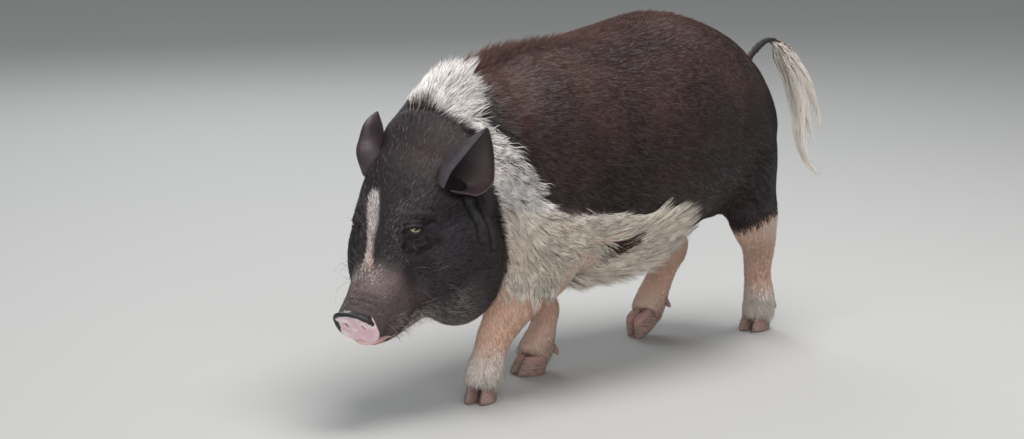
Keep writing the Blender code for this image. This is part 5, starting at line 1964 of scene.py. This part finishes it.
# lashes, whiskers and bristles
whiskerSettings = {
    # middle on the head (along, side, up), reach, count, length, width, how far they stand off,
    # share of pale ones
    "jowl": ((0.190, 0.060, -0.030), 0.055, 16, 0.036, 0.00020, 0.50, 0.8),
    "chin": ((0.235, 0.026, -0.068), 0.045, 190, 0.020, 0.00036, 0.35, 1.0),
    "lipEdge": ((0.265, 0.040, -0.036), 0.030, 40, 0.012, 0.00030, 0.45, 0.8),
    "muzzle": ((0.262, 0.010, 0.025), 0.034, 60, 0.009, 0.00030, 0.40, 0.6),
    "brow": ((0.150, 0.042, 0.066), 0.022, 18, 0.012, 0.00030, 0.35, 0.0),
    "cheek": ((0.196, 0.036, 0.036), 0.030, 18, 0.009, 0.00020, 0.24, 0.7),
}


def makeWhiskers():
    draw = np.random.default_rng(31)
    places = placesOf(skin.data)
    along, side, up = headPlaces(places)
    found = []
    for middle, reach, count, length, width, lift, share in whiskerSettings.values():
        for hand in (1, -1):
            gap = np.linalg.norm(np.stack([along, side * hand, up], axis=1) - middle, axis=1)
            density = ease(-gap, -reach, -reach * 0.4) * eyeClear(places)
            found.append((
                *scatter(skin.data, count, density, draw), length * draw.uniform(0.55, 1.25, count),
                np.full(count, width), lift * draw.uniform(0.5, 1.4, count), draw.random(count) < share,
            ))
    roots, normals, flat, lengths, widths, lifts, pale = (np.concatenate(each) for each in zip(*found))
    n = len(roots)
    ways = lieOf(roots, normals, marks(roots))
    across = np.cross(normals, ways)
    ways = turned(ways, across, draw.normal(0, 0.55, n))
    bend = draw.normal(0, 0.45, n)
    lines = [roots - normals * 0.001]
    for i in range(1, 7):
        share = i / 6
        out = np.sin(share * 1.5) * lifts
        lines.append(roots + lengths[:, None] * (
            ways * (share * (1 - 0.25 * share)) + normals * out[:, None]
            + across * (bend * share * share)[:, None] - np.array((0, 0, 0.30 * share * share))))
    values = {"dark": np.where(pale, 0.45, 1.0), "cream": draw.uniform(0.5, 1.0, n), "muzzle": pale * 1.0,
              "brown": draw.uniform(0, 0.5, n), "chance": draw.random(n)}
    tuftMesh("whiskers", lines, [normals] * 7, widths, 0.00030, np.linspace(1, 0.4, 6), flat, values,
             hairMaterial, "white_hair")


def makeLashes():
    # along the upper lid, curving down and out
    draw = np.random.default_rng(32)
    roots, ways, falls = [], [], []
    for hand in (1, -1):
        centre, radius, look, across, upward = eyeFrame(hand)
        for k in range(64):
            t = -1.05 + 2.1 * k / 63
            h = t * eyeSettings["openWidth"]
            v = eyeSettings["openUp"] * math.sqrt(max(1 - t * t, 0)) + 0.0006
            flat = across * h + upward * v
            out = (look * math.sqrt(max(radius**2 - flat.length_squared, 0)) + flat).normalized()
            roots.append(centre + out * (radius + 0.0012))
            way = (out * 0.9 + across * (0.35 * t) - upward * 0.25 - headAlong * 0.15).normalized()
            ways.append(way)
            falls.append(-upward + across * (0.3 * t))
    roots, ways, falls = (np.array([tuple(v) for v in each]) for each in (roots, ways, falls))
    n = len(roots)
    lengths = draw.uniform(0.004, 0.0080, n) * np.where(np.arange(n) < n / 2, 1.0, 0.35)
    ways = ways + draw.normal(0, 0.10, ways.shape)
    lines = [roots + lengths[:, None] * (ways * share + falls * (0.45 * share * share))
             for share in np.linspace(0, 1, 5)]
    values = {"dark": np.ones(n), "cream": np.zeros(n), "muzzle": np.zeros(n), "brown": np.zeros(n),
              "chance": draw.random(n)}
    tuftMesh("lashes", lines, [np.cross(ways, falls)] * 5, np.full(n, 0.00042), 0.0003,
             np.linspace(1, 0.5, 4), rootsOnMap(roots), values, hairMaterial, "dark_face")


def rootsOnMap(places):
    # where each hair's root lies on the skin's map
    mesh, flat = skin.data, flatOf(skin.data)
    found = [skinTree.find_nearest(place)[2] for place in places.tolist()]
    return np.array([flat[mesh.polygons[face].loop_start] for face in found])


makeWhiskers()
makeLashes()
print("lip, whiskers and lashes made")

# the tail's brush
tailSettings = {
    # the brush parts into three wisps: their lines (f, x, z) and shares of the hair
    "wisps": (
        (((-0.392, 0, 0.459), (-0.413, 0, 0.446), (-0.432, 0, 0.425), (-0.452, 0, 0.398),
          (-0.466, 0, 0.368), (-0.472, 0.002, 0.335), (-0.472, 0.002, 0.305), (-0.476, 0.003, 0.276),
          (-0.490, 0.004, 0.252), (-0.510, 0.004, 0.235), (-0.530, 0.004, 0.222)), 0.45),
        (((-0.392, 0, 0.459), (-0.413, 0, 0.446), (-0.432, 0, 0.425), (-0.452, 0, 0.399),
          (-0.470, 0, 0.372), (-0.484, 0, 0.345), (-0.496, 0, 0.318), (-0.504, 0, 0.296),
          (-0.510, 0, 0.278)), 0.25),
        (((-0.392, 0, 0.459), (-0.413, 0, 0.447), (-0.433, 0, 0.427), (-0.456, 0, 0.406),
          (-0.478, 0, 0.385), (-0.500, 0, 0.366), (-0.518, -0.002, 0.345), (-0.530, -0.002, 0.320),
          (-0.536, -0.003, 0.292)), 0.30),
    ),
    "count": 3200,
    "steps": 6,
    "width": 0.00090,
    "spread": 0.0085,
    "fine": 120,  # steps that each wisp's line is read at
    "taper": (1.0, 1.0, 0.94, 0.86, 0.72, 0.5),
}


def makeTailBrush(material):
    s = tailSettings
    draw = np.random.default_rng(21)
    found, steps, last = [], s["steps"], s["fine"]
    right = np.array((1.0, 0.0, 0.0))
    for points, share in s["wisps"]:
        fine = curve([tuple(at(*p)) for p in points], last + 1)
        n = int(s["count"] * share)
        start = draw.beta(1.0, 1.6, n) * 0.30
        length = draw.uniform(0.30, 0.62, n) + 0.22 * (draw.random(n) < 0.3)
        swing = draw.normal(0, 1, (n, 2))
        swing /= np.maximum(1.0, np.linalg.norm(swing, axis=1) / 1.7)[:, None]
        wisp = draw.normal(0, 1, (6, 2))[draw.integers(0, 6, n)]
        curl = draw.uniform(0, math.tau, (n, 2))
        lines = []
        for i in range(steps + 1):
            along = i / steps
            t = np.minimum(start + along * length, 1.02) * last
            low = np.clip(t.astype(int), 0, last - 1)
            way = fine[low + 1] - fine[low]
            place = fine[low] + way * (t - low)[:, None]
            sideways = np.cross(unit(way), right)
            # widest a little below the tail's end, then drawn in to the wisp
            wide = ease(t / last, 0.02, 0.24) * (1 - 0.80 * ease(t / last, 0.30, 0.80))
            wide = 0.0020 + s["spread"] * wide * (0.2 + 0.8 * ease(along, 0, 0.3))
            both = swing * 0.70 + wisp * 0.35 * along + 0.20 * np.sin(curl + along * 6.0)
            lines.append(place + right * (both[:, 0] * wide)[:, None]
                         + sideways * (both[:, 1] * wide * 1.2)[:, None])
        facing = np.stack([swing[:, 0], swing[:, 1] * 0.3, swing[:, 1]], axis=1) + 1e-3
        found.append((start, unit(facing), *lines))
    start, facing, *lines = (np.concatenate(each) for each in zip(*found))
    n = len(start)
    values = {
        "dark": draw.random(n) < 0.5 * ease(-start, -0.05, -0.01),
        "brown": draw.uniform(0.2, 0.9, n),
        "cream": draw.uniform(0.15, 0.9, n),
        "muzzle": np.zeros(n),
        "chance": 0.60 + 0.40 * draw.random(n),
    }
    widths = s["width"] * draw.uniform(0.7, 1.3, n)
    brush = tuftMesh("tailBrush", lines, [facing] * len(lines), widths, 0.0005, s["taper"],
                     rootsOnMap(lines[0]), values, material, "white_hair")
    print("tail brush:", len(brush.data.polygons), "faces")


makeTailBrush(hairMaterial)

settle(skin, "dark_coat", "torso", "neck", "head", "tail", *legRows)
